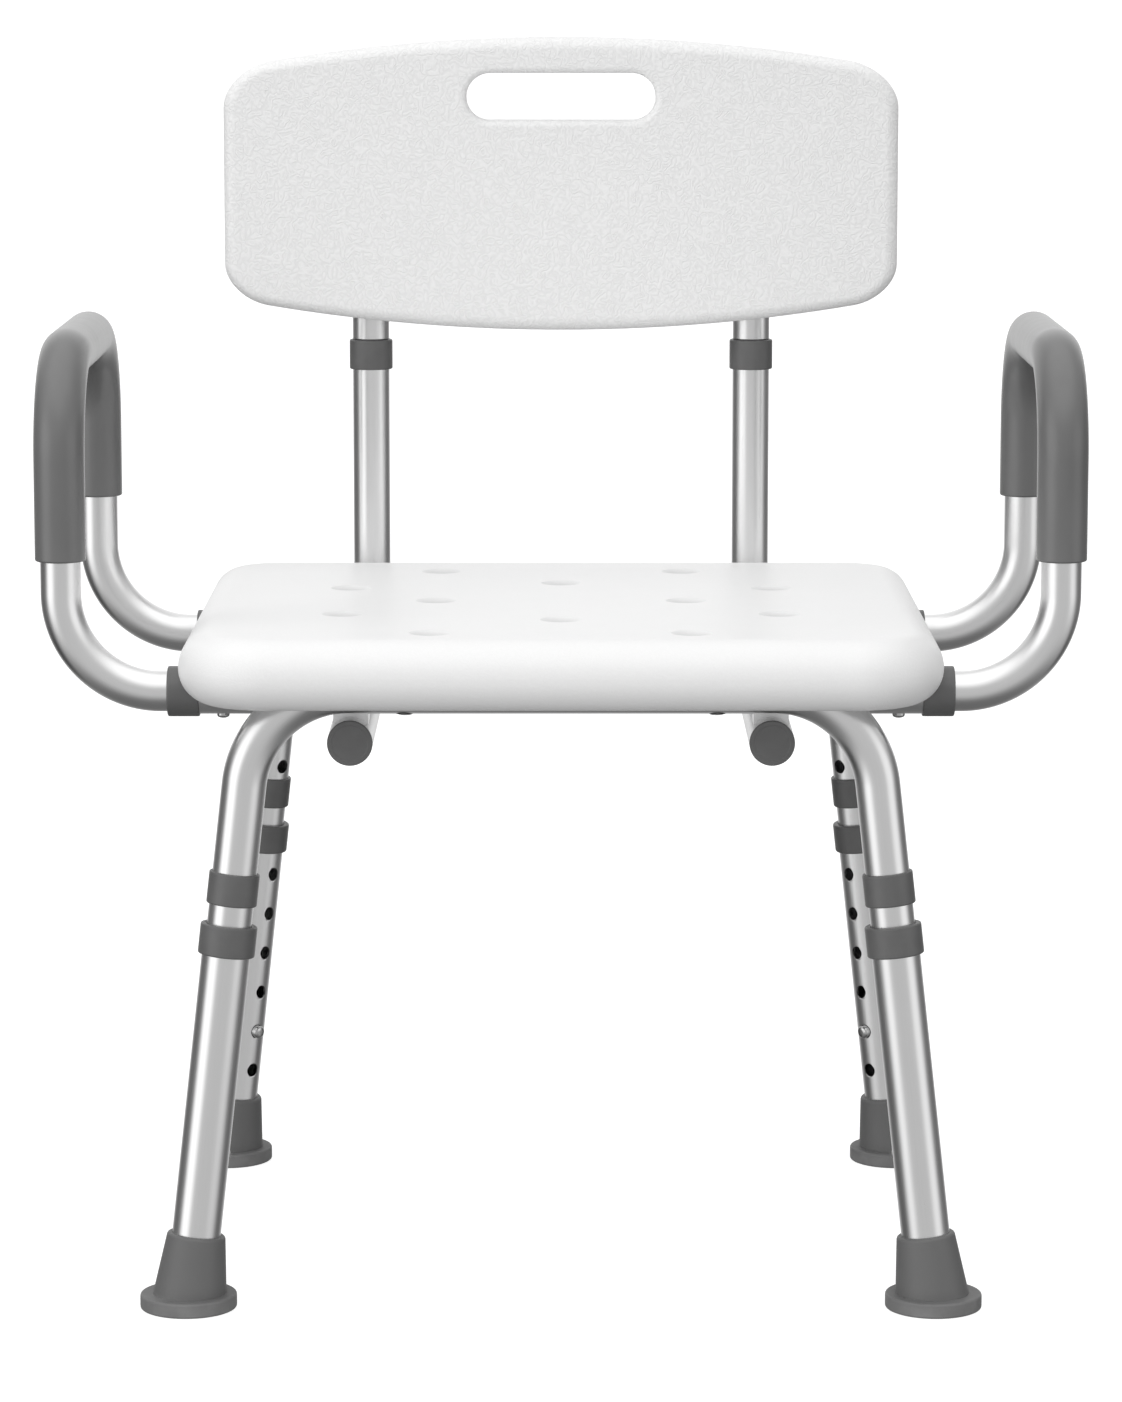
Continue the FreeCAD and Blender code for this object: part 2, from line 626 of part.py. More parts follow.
def snap_fit(name, centre, facing, along, inner_r, wall, outer_r, stand_out):
    """Write one button and return its spring clip: inner_r is the tube that holds the button."""
    inside = inner_r - wall
    seat_r = math.sqrt(inside ** 2 - (BUTTON_R + BUTTON_LIP) ** 2) - 2 * FIT
    write(name, snap_button(centre, facing, seat_r, outer_r + stand_out))
    return clip(centre, facing, along, seat_r, inside)


def build_frame():
    """Everything that stays with the seat."""
    write("seat_panel", seat())
    rows = {"front": ARM_FRONT_Y, "rear": ARM_REAR_Y}
    for name, end in ENDS.items():
        write(name + "_leg_frame", leg_frame(end))
        write(name + "_arm_socket", arm_socket(rows[name]))
    for name, side in SIDES.items():
        write("back_socket_" + name, back_socket(side))
    write("back_socket_plugs", [socket_plug(side) for side in SIDES.values()])
    write("arm_socket_collars", [arm_collar(side, y) for side in SIDES.values() for y in rows.values()])
    write("leg_stop_rings", [stop_ring(side, end) for side in SIDES.values() for end in ENDS.values()])
    write("seat_screws", [seat_screw(*place) for place in SEAT_SCREWS])
    near, far = BACK_SOCKET_Y
    solid_tubes = [run(leg_frame_path(end), LEG_BEND, LEG_R) for end in ENDS.values()]
    for y in rows.values():
        solid_tubes.append(bar(V(-SOCKET_END_X, y, ARM_Z), V(SOCKET_END_X, y, ARM_Z), SOCKET_R))
    for x in (-POST_X, POST_X):
        solid_tubes.append(bar(V(x, near, BACK_SOCKET_Z), V(x, far, BACK_SOCKET_Z), SOCKET_R))
    saddles = [saddle(side, y, solid_tubes) for side in SIDES.values() for y in rows.values()]
    write("socket_saddles", saddles)


def build_legs():
    """The four telescopic legs with their feet and buttons."""
    clips = []
    for end_name, end in ENDS.items():
        for side_name, side in SIDES.items():
            name = end_name + "_" + side_name
            write("lower_leg_" + name, lower_leg(side, end))
            write("leg_collar_" + name, leg_collar(side, end))
            write("foot_" + name, foot(side, end))
            write("foot_washer_" + name, washer(side, end))
            centre, facing = leg_point(side, end, BUTTON_Z), leg_facing(side, end)
            up = leg_up(side, end)
            clips.append(snap_fit("leg_button_" + name, centre, facing, up, LEG_R, LEG_WALL, LOWER_R, LEG_STAND))
    write("leg_button_clips", clips)


def build_arms():
    """The two arms with their sleeves and buttons."""
    for side_name, side in SIDES.items():
        write("arm_tube_" + side_name, arm_tube(side))
        write("arm_grip_" + side_name, arm_grip(side))
        clips = []
        for end_name, y in (("front", ARM_FRONT_Y), ("rear", ARM_REAR_Y)):
            centre = V(side * ARM_BUTTON_X, y, ARM_Z)
            name = "arm_button_" + end_name + "_" + side_name
            clips.append(snap_fit(name, centre, -Z, X * -side, ARM_R, ARM_WALL, SOCKET_R, SOCKET_STAND))
        write("arm_button_clips_" + side_name, clips)


def build_back():
    """The posts, the backrest and their buttons."""
    post_clips, back_clips = [], []
    for side_name, side in SIDES.items():
        write("back_post_" + side_name, post(side))
        write("back_tube_" + side_name, back_tube(side))
        low = V(side * POST_X, POST_BUTTON_Y, BACK_SOCKET_Z)
        high = V(side * POST_X, POST_Y, BACK_BUTTON_Z)
        name = "post_button_" + side_name
        post_clips.append(snap_fit(name, low, -Z, -Y, ARM_R, ARM_WALL, SOCKET_R, SOCKET_STAND))
        name = "back_button_" + side_name
        back_clips.append(snap_fit(name, high, Y, -Z, SPIGOT_R, ARM_WALL, ARM_R, BACK_STAND))
    write("post_collars", [post_collar(side) for side in SIDES.values()])
    write("post_button_clips", post_clips)
    write("back_button_clips", back_clips)
    write("backrest_panel", backrest())
    write("backrest_screws", [back_screw(side, z) for side in SIDES.values() for z in BACK_SCREW_Z])


os.makedirs("parts", exist_ok=True)
build_frame()
build_legs()
build_arms()
build_back()
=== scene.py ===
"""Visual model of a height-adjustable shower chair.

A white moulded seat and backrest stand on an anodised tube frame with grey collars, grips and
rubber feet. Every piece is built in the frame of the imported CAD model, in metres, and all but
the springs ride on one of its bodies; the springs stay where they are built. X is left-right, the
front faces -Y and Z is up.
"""

import logging
import math
from dataclasses import dataclass
from enum import Enum
from functools import lru_cache
from typing import Callable, Iterable, Mapping, Sequence

import bmesh
import bpy
from mathutils import Matrix, Vector


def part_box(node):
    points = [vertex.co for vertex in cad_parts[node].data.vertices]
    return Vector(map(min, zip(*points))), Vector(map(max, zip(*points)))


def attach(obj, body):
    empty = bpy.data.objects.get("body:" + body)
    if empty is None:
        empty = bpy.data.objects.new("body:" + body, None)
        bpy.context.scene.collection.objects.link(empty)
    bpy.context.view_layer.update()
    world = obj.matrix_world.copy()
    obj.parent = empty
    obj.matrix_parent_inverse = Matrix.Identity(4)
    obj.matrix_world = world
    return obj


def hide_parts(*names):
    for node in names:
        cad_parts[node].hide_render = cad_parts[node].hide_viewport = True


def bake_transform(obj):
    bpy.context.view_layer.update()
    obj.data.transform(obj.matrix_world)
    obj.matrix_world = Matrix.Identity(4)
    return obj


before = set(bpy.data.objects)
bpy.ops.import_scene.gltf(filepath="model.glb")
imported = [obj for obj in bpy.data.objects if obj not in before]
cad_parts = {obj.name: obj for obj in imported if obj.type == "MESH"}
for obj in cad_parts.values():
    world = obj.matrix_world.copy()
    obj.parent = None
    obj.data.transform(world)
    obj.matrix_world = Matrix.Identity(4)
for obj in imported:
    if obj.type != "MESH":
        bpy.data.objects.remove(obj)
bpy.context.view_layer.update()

LOG = logging.getLogger("shower_chair")

X, Y, Z = Vector((1, 0, 0)), Vector((0, 1, 0)), Vector((0, 0, 1))
TUBE_SIDES = 96
TURN_SIDES = 72
PANEL_SHARP = 50.0
SLIDE_GAP = 0.0003
WELD = 1e-6
AXIS_REACH = 1e-7

Piece = bpy.types.Object
Points = list[tuple[float, float]]
Profile = Sequence[tuple[float, float]]
Spot = tuple[Vector, Vector]
Placing = Callable[[float, float, float], tuple[float, float, float]]


class Side(Enum):
    """The two sides of the chair, as seen from its front."""

    LEFT = -1
    RIGHT = 1


class End(Enum):
    """The chair's front and rear."""

    FRONT = -1
    REAR = 1


def legs() -> Iterable[tuple[End, Side]]:
    """The four legs, front to rear and left to right."""
    return ((end, side) for end in End for side in Side)


def label(*parts: Enum) -> str:
    """The lower-case names of enum members, joined as in the CAD node names."""
    return "_".join(part.name.lower() for part in parts)


# ---- node trees ---------------------------------------------------------------------------


class Term:
    """One output of a node, which adds Math nodes to its tree when it is used in arithmetic."""

    def __init__(self, bench: "Bench", node: bpy.types.Node, output: int | str) -> None:
        """Keep the tree's bench and the output that this term stands for."""
        self.bench = bench
        self.node = node
        self.socket = node.outputs[output] if node.outputs else None

    def out(self, output: int | str) -> "Term":
        """Another output of the same node."""
        return Term(self.bench, self.node, output)

    def maths(self, operation: str, *terms: "Term | float") -> "Term":
        """The result of a Math node on these terms."""
        return self.bench.node("ShaderNodeMath", {"operation": operation}, dict(enumerate(terms)))

    def __add__(self, other: "Term | float") -> "Term":
        """This term plus another."""
        return self.maths("ADD", self, other)

    __radd__ = __add__

    def __sub__(self, other: "Term | float") -> "Term":
        """This term less another."""
        return self.maths("SUBTRACT", self, other)

    def __rsub__(self, other: float) -> "Term":
        """A number less this term."""
        return self.maths("SUBTRACT", other, self)

    def __mul__(self, other: "Term | float") -> "Term":
        """This term times another."""
        return self.maths("MULTIPLY", self, other)

    def __truediv__(self, other: "Term | float") -> "Term":
        """This term over another."""
        return self.maths("DIVIDE", self, other)

    def __pow__(self, other: "Term | float") -> "Term":
        """This term raised to a power."""
        return self.maths("POWER", self, other)

    def least(self, other: "Term | float") -> "Term":
        """The smaller of this term and another."""
        return self.maths("MINIMUM", self, other)

    def most(self, other: "Term | float") -> "Term":
        """The larger of this term and another."""
        return self.maths("MAXIMUM", self, other)

    def step(self, low: float, high: float) -> "Term":
        """A smooth rise from 0 at low to 1 at high."""
        sockets = {"Value": self, "From Min": low, "From Max": high}
        return self.bench.node("ShaderNodeMapRange", {"interpolation_type": "SMOOTHSTEP"}, sockets)


class Bench:
    """A node tree in the making."""

    def __init__(self, tree: bpy.types.NodeTree) -> None:
        """Start on an empty tree."""
        self.tree = tree
        self.tree.nodes.clear()

    def node(
        self,
        kind: str,
        settings: Mapping[str, object] | None = None,
        sockets: Mapping[int | str, object] | None = None,
        output: int | str = 0,
    ) -> Term:
        """Add a node.

        Args:
            kind: the node's type.
            settings: what is set on the node first.
            sockets: values or terms for its inputs, by name or number.
            output: the output to return.

        Returns:
            The chosen output.
        """
        made = self.tree.nodes.new(kind)
        for name, value in (settings or {}).items():
            setattr(made, name, value)
        for key, value in (sockets or {}).items():
            if isinstance(value, Term):
                self.tree.links.new(value.socket, made.inputs[key])
            else:
                made.inputs[key].default_value = value
        return Term(self, made, output)

    def mixed(self, factor: Term, first: object, second: object) -> Term:
        """A colour between two colours."""
        sockets = {0: factor, 6: first, 7: second}
        return self.node("ShaderNodeMix", {"data_type": "RGBA"}, sockets, 2)

    def place(self, stretch: Sequence[float] = (1, 1, 1)) -> Term:
        """The object coordinates, stretched."""
        sockets = {0: self.node("ShaderNodeTexCoord", output="Object"), "Scale": stretch}
        return self.node("ShaderNodeMapping", sockets=sockets)

    def noise(self, vector: Term, scale: float, detail: float = 2.0, warp: float = 0.0) -> Term:
        """A noise pattern from 0 to 1."""
        sockets = {"Vector": vector, "Scale": scale, "Detail": detail, "Distortion": warp}
        return self.node("ShaderNodeTexNoise", sockets=sockets)

    def bump(self, height: Term, strength: float, depth: float) -> Term:
        """A bumped normal from a height."""
        sockets = {"Height": height, "Strength": strength, "Distance": depth}
        return self.node("ShaderNodeBump", sockets=sockets)


# ---- finishes -----------------------------------------------------------------------------

Colour = tuple[float, float, float, float]


def grey(level: float) -> Colour:
    """A neutral grey."""
    return (level, level, level, 1.0)


@dataclass(frozen=True)
class Finish:
    """A surface finish: its name, the record's slot and its base values."""

    name: str
    slot: str
    colour: Colour
    roughness: float

    def material(self) -> bpy.types.Material:
        """The finish's material, made once."""
        return made_material(self)

    def tinted(self, factor: float) -> Colour:
        """The finish's colour, darker or lighter by a factor."""
        return tuple(factor * c for c in self.colour[:3]) + (1.0,)

    def surface(self, bench: Bench) -> dict[str, object]:
        """The shader sockets that this finish sets."""
        raise NotImplementedError


@lru_cache(maxsize=None)
def made_material(finish: Finish) -> bpy.types.Material:
    """Make the material of a finish.

    Args:
        finish: what to make.

    Returns:
        A node material.
    """
    material = bpy.data.materials.new(finish.name)
    material.use_nodes = True
    bench = Bench(material.node_tree)
    shader = bench.node("ShaderNodeBsdfPrincipled", sockets=finish.surface(bench))
    bench.node("ShaderNodeOutputMaterial", sockets={"Surface": shader})
    return material


@dataclass(frozen=True)
class MouldedPlastic(Finish):
    """Blow-moulded polyethylene with a fine leathery grain."""

    grain: float = 235.0
    relief: float = 0.00028
    shaded: float = 0.925
    # how dark the painted shade in the drain dishes gets, as a share of the colour
    dish_shade: float = 0.62
    ridge: float = 0.13

    def surface(self, bench: Bench) -> dict[str, object]:
        """Close winding ridges over slow mottling, with painted shade darkening the drain dishes where the
        skin is hollow.

        Args:
            bench: the material's tree.

        Returns:
            The shader sockets, by name.
        """
        place = bench.place()
        field = bench.noise(place, self.grain, 0.3, 0.3)
        ridges = field.maths("PINGPONG", field, self.ridge) / self.ridge
        pores = bench.noise(place, self.grain * 8, 2.0)
        mottle = bench.noise(place, 38.0, 3.0)
        shade = (mottle * 0.25 + ridges * 0.75).step(0.05, 0.95)
        skin = bench.mixed(shade, self.tinted(self.shaded), self.colour)
        # painted shade: the drain dishes are darkened towards their middles, by the attribute hollow
        hollow = bench.node("ShaderNodeAttribute", {"attribute_name": "hollow"}, output="Fac")
        return {
            "Base Color": bench.mixed(hollow, skin, self.tinted(self.dish_shade)),
            "Roughness": self.roughness + (mottle - 0.5) * 0.14 - ridges * 0.05,
            "Normal": bench.bump(ridges + pores * 0.25, 0.8, self.relief),
            "IOR": 1.5,
        }


@dataclass(frozen=True)
class Anodised(Finish):
    """Drawn and anodised aluminium tube, whose fine lines run along the tube."""

    def surface(self, bench: Bench) -> dict[str, object]:
        """Faint lengthwise lines and a fine satin grain.

        Args:
            bench: the material's tree.

        Returns:
            The shader sockets, by name.
        """
        drawn = bench.node("ShaderNodeAttribute", {"attribute_name": "drawn"}, output="Vector")
        lines = bench.noise(
            bench.node("ShaderNodeMapping", sockets={0: drawn, "Scale": (1, 1, 0.012)}), 2300.0, 3.0
        )
        cloud = bench.noise(bench.place(), 26.0, 3.0)
        speckle = bench.noise(bench.place(), 3600.0, 1.0)
        dull = self.tinted(0.965)
        return {
            "Base Color": bench.mixed((lines * 0.6 + cloud * 0.4).step(0.3, 0.7), dull, self.colour),
            "Metallic": 1.0,
            "Roughness": self.roughness + (lines - 0.5) * 0.05 + (cloud - 0.5) * 0.03,
            "Normal": bench.bump(lines * 0.5 + speckle * 0.5, 0.022, 0.00005),
        }


@dataclass(frozen=True)
class SatinPlastic(Finish):
    """Injection-moulded collar plastic with a fine spark-eroded texture."""

    texture: float = 1500.0

    def surface(self, bench: Bench) -> dict[str, object]:
        """A fine even texture with slow shifts in gloss.

        Args:
            bench: the material's tree.

        Returns:
            The shader sockets, by name.
        """
        place = bench.place()
        texture = bench.noise(place, self.texture, 2.0)
        cloud = bench.noise(place, 60.0, 2.0)
        light = self.tinted(1.12)
        return {
            "Base Color": bench.mixed(cloud.step(0.3, 0.75), self.colour, light),
            "Roughness": self.roughness + (cloud - 0.5) * 0.12 + (texture - 0.5) * 0.08,
            "Normal": bench.bump(texture, 0.25, 0.00006),
            "IOR": 1.5,
        }


@dataclass(frozen=True)
class SoftSleeve(Finish):
    """Dipped vinyl sleeve: smooth, slightly uneven and satin."""

    def surface(self, bench: Bench) -> dict[str, object]:
        """Long low ripples under a fine pebble.

        Args:
            bench: the material's tree.

        Returns:
            The shader sockets, by name.
        """
        place = bench.place()
        ripple = bench.noise(bench.place((1, 1, 0.4)), 42.0, 2.0)
        pebble = bench.noise(place, 1100.0, 2.0)
        light = self.tinted(1.10)
        return {
            "Base Color": bench.mixed(ripple.step(0.3, 0.7), self.colour, light),
            "Roughness": self.roughness + (ripple - 0.5) * 0.10 + (pebble - 0.5) * 0.06,
            "Normal": bench.bump(ripple * 0.7 + pebble * 0.06, 0.35, 0.0007),
            "IOR": 1.48,
            "Coat Weight": 0.6 + (ripple - 0.5) * 0.1,
            "Coat Roughness": 0.26,
        }


@dataclass(frozen=True)
class Rubber(Finish):
    """Moulded rubber with a dusty bloom near the floor."""

    def surface(self, bench: Bench) -> dict[str, object]:
        """A pebbled skin, paler where it is scuffed.

        Args:
            bench: the material's tree.

        Returns:
            The shader sockets, by name.
        """
        place = bench.place()
        pebble = bench.noise(place, 900.0, 3.0)
        scuff = bench.noise(place, 70.0, 4.0)
        height = bench.node("ShaderNodeSeparateXYZ", sockets={0: place}, output="Z")
        bloom = (1 - height.step(0.006, 0.013)) * (scuff.step(0.35, 0.75) * 0.5 + 0.5)
        pale = self.tinted(1.6)
        return {
            "Base Color": bench.mixed((bloom + scuff * 0.12).least(1.0), self.colour, pale),
            "Roughness": self.roughness + bloom * 0.15 + (pebble - 0.5) * 0.1,
            "Normal": bench.bump(pebble, 0.3, 0.00012),
            "IOR": 1.5,
        }


@dataclass(frozen=True)
class PlatedSteel(Finish):
    """Bright plated steel of buttons, screws, springs and washers."""

    def surface(self, bench: Bench) -> dict[str, object]:
        """A bright plate with fine wear.

        Args:
            bench: the material's tree.

        Returns:
            The shader sockets, by name.
        """
        wear = bench.noise(bench.place(), 900.0, 3.0)
        dull = self.tinted(0.8)
        return {
            "Base Color": bench.mixed(wear.step(0.35, 0.6), dull, self.colour),
            "Metallic": 1.0,
            "Roughness": self.roughness + (wear - 0.5) * 0.12,
            "Normal": bench.bump(wear, 0.08, 0.00005),
        }


WHITE = MouldedPlastic(
    "seat_polyethylene", "seat_plastic", grey(0.86), 0.42, grain=330.0, relief=0.00006, shaded=0.985
)
GRAINED = MouldedPlastic("back_polyethylene", "seat_plastic", grey(0.9), 0.46)
TUBE = Anodised("anodised_tube", "aluminium", grey(0.87), 0.29)
COLLAR = SatinPlastic("collar_plastic", "collar_plastic", grey(0.113), 0.38)
SLEEVE = SoftSleeve("grip_vinyl", "grip_sleeve", grey(0.133), 0.34)
RUBBER = Rubber("foot_rubber", "rubber", grey(0.122), 0.52)
STEEL = PlatedSteel("plated_steel", "steel", grey(0.6), 0.16)


# ---- geometry trees -----------------------------------------------------------------------

GROUP_TYPES = {
    float: "NodeSocketFloat",
    int: "NodeSocketInt",
    bpy.types.Material: "NodeSocketMaterial",
    bpy.types.Object: "NodeSocketObject",
}


class GeometryTree:
    """A Geometry Nodes tree with named inputs, built once and used by many pieces."""

    def __init__(self, name: str, inputs: Mapping[str, type]) -> None:
        """Make the tree with its inputs and leave the rest to the subclass's build method.

        Args:
            name: the tree's name.
            inputs: the names and types of its inputs.
        """
        self.group = bpy.data.node_groups.new(name, "GeometryNodeTree")
        self.bench = Bench(self.group)
        interface = self.group.interface
        interface.new_socket("Geometry", in_out="INPUT", socket_type="NodeSocketGeometry")
        self.identifiers = {
            title: interface.new_socket(title, in_out="INPUT", socket_type=GROUP_TYPES[kind]).identifier
            for title, kind in inputs.items()
        }
        interface.new_socket("Geometry", in_out="OUTPUT", socket_type="NodeSocketGeometry")
        self.entry = self.bench.node("NodeGroupInput")
        made = self.build()
        realised = self.bench.node("GeometryNodeRealizeInstances", sockets={0: made})
        smooth = self.bench.node("GeometryNodeSetShadeSmooth", sockets={"Geometry": realised})
        dressed = self.bench.node(
            "GeometryNodeSetMaterial", sockets={0: smooth, "Material": self.entry.out("Finish")}
        )
        self.bench.node("NodeGroupOutput", sockets={0: dressed})

    def build(self) -> Term:
        """The geometry that the tree makes."""
        raise NotImplementedError

    def put_on(self, piece: Piece, values: Mapping[str, object]) -> None:
        """Add the tree to an object as a modifier.

        Args:
            piece: the object whose mesh is the tree's input.
            values: the inputs, by name.
        """
        modifier = piece.modifiers.new(self.group.name, "NODES")
        modifier.node_group = self.group
        for title, value in values.items():
            modifier[self.identifiers[title]] = value


class TubeTree(GeometryTree):
    """Sweeps a round section along the edges of the input, with arcs at the corners."""

    def __init__(self) -> None:
        """Name the inputs."""
        inputs = {"Radius": float, "Bend radius": float, "Bend steps": int, "Sides": int}
        super().__init__("swept_tube", inputs | {"Finish": bpy.types.Material})

    def build(self) -> Term:
        """The skin of the tube, with its unrolled place stored as the attribute drawn.

        Returns:
            The skin, as a mesh.
        """
        bench, entry = self.bench, self.entry
        line = bench.node("GeometryNodeMeshToCurve", sockets={0: entry})
        sockets = {
            "Curve": line,
            "Radius": entry.out("Bend radius"),
            "Count": entry.out("Bend steps"),
            "Limit Radius": False,
        }
        line = bench.node("GeometryNodeFilletCurve", {"mode": "POLY"}, sockets)
        length = bench.node("GeometryNodeSplineParameter", output="Length")
        line = self.captured(line, "FLOAT", length)
        circle = bench.node(
            "GeometryNodeCurvePrimitiveCircle",
            sockets={"Resolution": entry.out("Sides"), "Radius": entry.out("Radius")},
        )
        ring = self.captured(circle, "VECTOR", bench.node("GeometryNodeInputPosition"))
        skin = bench.node("GeometryNodeCurveToMesh", sockets={0: line, 1: ring})
        along = bench.node("ShaderNodeCombineXYZ", sockets={"Z": line.out(1)})
        drawn = bench.node("ShaderNodeVectorMath", {"operation": "ADD"}, {0: ring.out(1), 1: along})
        return bench.node(
            "GeometryNodeStoreNamedAttribute",
            {"data_type": "FLOAT_VECTOR", "domain": "POINT"},
            {"Geometry": skin, "Name": "drawn", "Value": drawn},
        )

    def captured(self, geometry: Term, kind: str, value: Term) -> Term:
        """Keep a value on a curve's points.

        Args:
            geometry: the curve.
            kind: the value's type.
            value: what is kept.

        Returns:
            The curve, whose node has the kept value as its second output.
        """
        made = self.bench.tree.nodes.new("GeometryNodeCaptureAttribute")
        made.domain = "POINT"
        made.capture_items.new(kind, "Kept")
        self.bench.tree.links.new(geometry.socket, made.inputs[0])
        self.bench.tree.links.new(value.socket, made.inputs[1])
        return Term(self.bench, made, 0)


class SpotTree(GeometryTree):
    """Sets a copy of a part on every point of the input, with its Z axis along facing."""

    def __init__(self) -> None:
        """Name the inputs."""
        super().__init__("set_on_spots", {"Part": bpy.types.Object, "Finish": bpy.types.Material})

    def build(self) -> Term:
        """The copies of the part.

        Returns:
            The copies, as instances.
        """
        bench, entry = self.bench, self.entry
        space = {"transform_space": "ORIGINAL"}
        part = bench.node("GeometryNodeObjectInfo", space, {"Object": entry.out("Part")}, "Geometry")
        facing = bench.node(
            "GeometryNodeInputNamedAttribute", {"data_type": "FLOAT_VECTOR"}, {"Name": "facing"}
        )
        turn = bench.node("FunctionNodeAlignRotationToVector", {"axis": "Z"}, {"Vector": facing})
        points = bench.node("GeometryNodeMeshToPoints", sockets={"Mesh": entry})
        sockets = {"Points": points, "Instance": part, "Rotation": turn}
        return bench.node("GeometryNodeInstanceOnPoints", sockets=sockets)


class BowTree(GeometryTree):
    """Bows the top and bottom edges of an upright panel."""

    def __init__(self) -> None:
        """Name the inputs."""
        inputs = {"Bow radius": float, "Middle": float, "Half height": float}
        super().__init__("bowed_panel", inputs | {"Finish": bpy.types.Material})

    def build(self) -> Term:
        """The panel, lower towards its sides at the top and higher there at the bottom.

        Returns:
            The moved mesh.
        """
        bench, entry = self.bench, self.entry
        place = bench.node("GeometryNodeInputPosition")
        x = bench.node("ShaderNodeSeparateXYZ", sockets={0: place})
        radius = entry.out("Bow radius")
        drop = radius - (radius * radius - x * x) ** 0.5
        share = (x.out("Z") - entry.out("Middle")) / entry.out("Half height")
        offset = bench.node("ShaderNodeCombineXYZ", sockets={"Z": drop * share * -1.0})
        return bench.node("GeometryNodeSetPosition", sockets={0: entry, "Offset": offset})


@lru_cache(maxsize=None)
def tube_tree() -> TubeTree:
    """The tube tree, made at its first use."""
    return TubeTree()


@lru_cache(maxsize=None)
def spot_tree() -> SpotTree:
    """The tree that sets parts on spots, made at its first use."""
    return SpotTree()


@lru_cache(maxsize=None)
def bow_tree() -> BowTree:
    """The tree that bows a panel, made at its first use."""
    return BowTree()


# ---- making pieces ------------------------------------------------------------------------


def mesh_object(name: str, vertices: Sequence, edges: Sequence = (), faces: Sequence = ()) -> Piece:
    """A linked mesh object from plain lists.

    Args:
        name: the object's name.
        vertices: its points.
        edges: pairs of point numbers.
        faces: loops of point numbers.

    Returns:
        The object.
    """
    mesh = bpy.data.meshes.new(name)
    mesh.from_pydata([tuple(v) for v in vertices], edges, faces)
    made = bpy.data.objects.new(name, mesh)
    bpy.context.scene.collection.objects.link(made)
    return made


def settled(piece: Piece) -> Piece:
    """Turn an object's modifiers into a plain mesh.

    Args:
        piece: the object, which keeps its name and finish.

    Returns:
        The same object with its evaluated mesh and no modifiers.
    """
    bpy.context.view_layer.update()
    graph = bpy.context.evaluated_depsgraph_get()
    mesh = bpy.data.meshes.new_from_object(piece.evaluated_get(graph), depsgraph=graph)
    mesh.name = piece.name
    piece.modifiers.clear()
    piece.data = mesh
    return piece


def shaped(name: str, shape: bmesh.types.BMesh) -> Piece:
    """Turn a shape into an object.

    Args:
        name: the object's name.
        shape: the shape, which is then freed.

    Returns:
        The object.
    """
    made = mesh_object(name, [])
    shape.to_mesh(made.data)
    shape.free()
    return made


def outward(piece: Piece, fill: bool = False) -> Piece:
    """Turn the faces of a closed piece outwards.

    Args:
        piece: the object.
        fill: whether its open ends are closed first.

    Returns:
        The same object.
    """
    shape = bmesh.new()
    shape.from_mesh(piece.data)
    if fill:
        bmesh.ops.holes_fill(shape, edges=shape.edges)
    bmesh.ops.recalc_face_normals(shape, faces=shape.faces)
    shape.to_mesh(piece.data)
    shape.free()
    return piece


def tidy_normals(piece: Piece, sharp: float = 38.0) -> Piece:
    """Weld, shade smooth and mark the sharp edges of a piece.

    Args:
        piece: the object.
        sharp: the angle in degrees from which an edge counts as sharp.

    Returns:
        The same object.
    """
    shape = bmesh.new()
    shape.from_mesh(piece.data)
    bmesh.ops.remove_doubles(shape, verts=shape.verts, dist=WELD)
    bmesh.ops.dissolve_degenerate(shape, edges=shape.edges, dist=WELD)
    shape.to_mesh(piece.data)
    shape.free()
    piece.data.shade_smooth()
    piece.data.set_sharp_from_angle(angle=math.radians(sharp))
    modifier = piece.modifiers.new("even_shading", "WEIGHTED_NORMAL")
    modifier.keep_sharp = True
    return piece


def remove(*pieces: Piece) -> None:
    """Delete helper objects."""
    for piece in pieces:
        bpy.data.objects.remove(piece)


def turning(origin: Vector, axis: Vector) -> Matrix:
    """The placement that carries +Z to an axis at an origin."""
    return Matrix.Translation(origin) @ axis.to_track_quat("Z", "Y").to_matrix().to_4x4()


def softened(profile: Profile, radius: float, steps: int = 4, closed: bool = False) -> Points:
    """Round the corners of a profile.

    Args:
        profile: (radius, height) points.
        radius: the reach of the rounding on each side of a corner.
        steps: the number of segments in a rounded corner.
        closed: whether the last point joins the first.

    Returns:
        The rounded profile.
    """
    points = [Vector((r, h, 0)) for r, h in profile]
    rounded: Points = []
    for i, corner in enumerate(points):
        if not closed and i in (0, len(points) - 1):
            rounded.append((corner.x, corner.y))
            continue
        before, after = points[i - 1] - corner, points[(i + 1) % len(points)] - corner
        start = corner + before.normalized() * min(radius, before.length * 0.45)
        end = corner + after.normalized() * min(radius, after.length * 0.45)
        for k in range(steps + 1):
            t = k / steps
            point = start * (1 - t) ** 2 + corner * 2 * t * (1 - t) + end * t * t
            rounded.append((point.x, point.y))
    return rounded


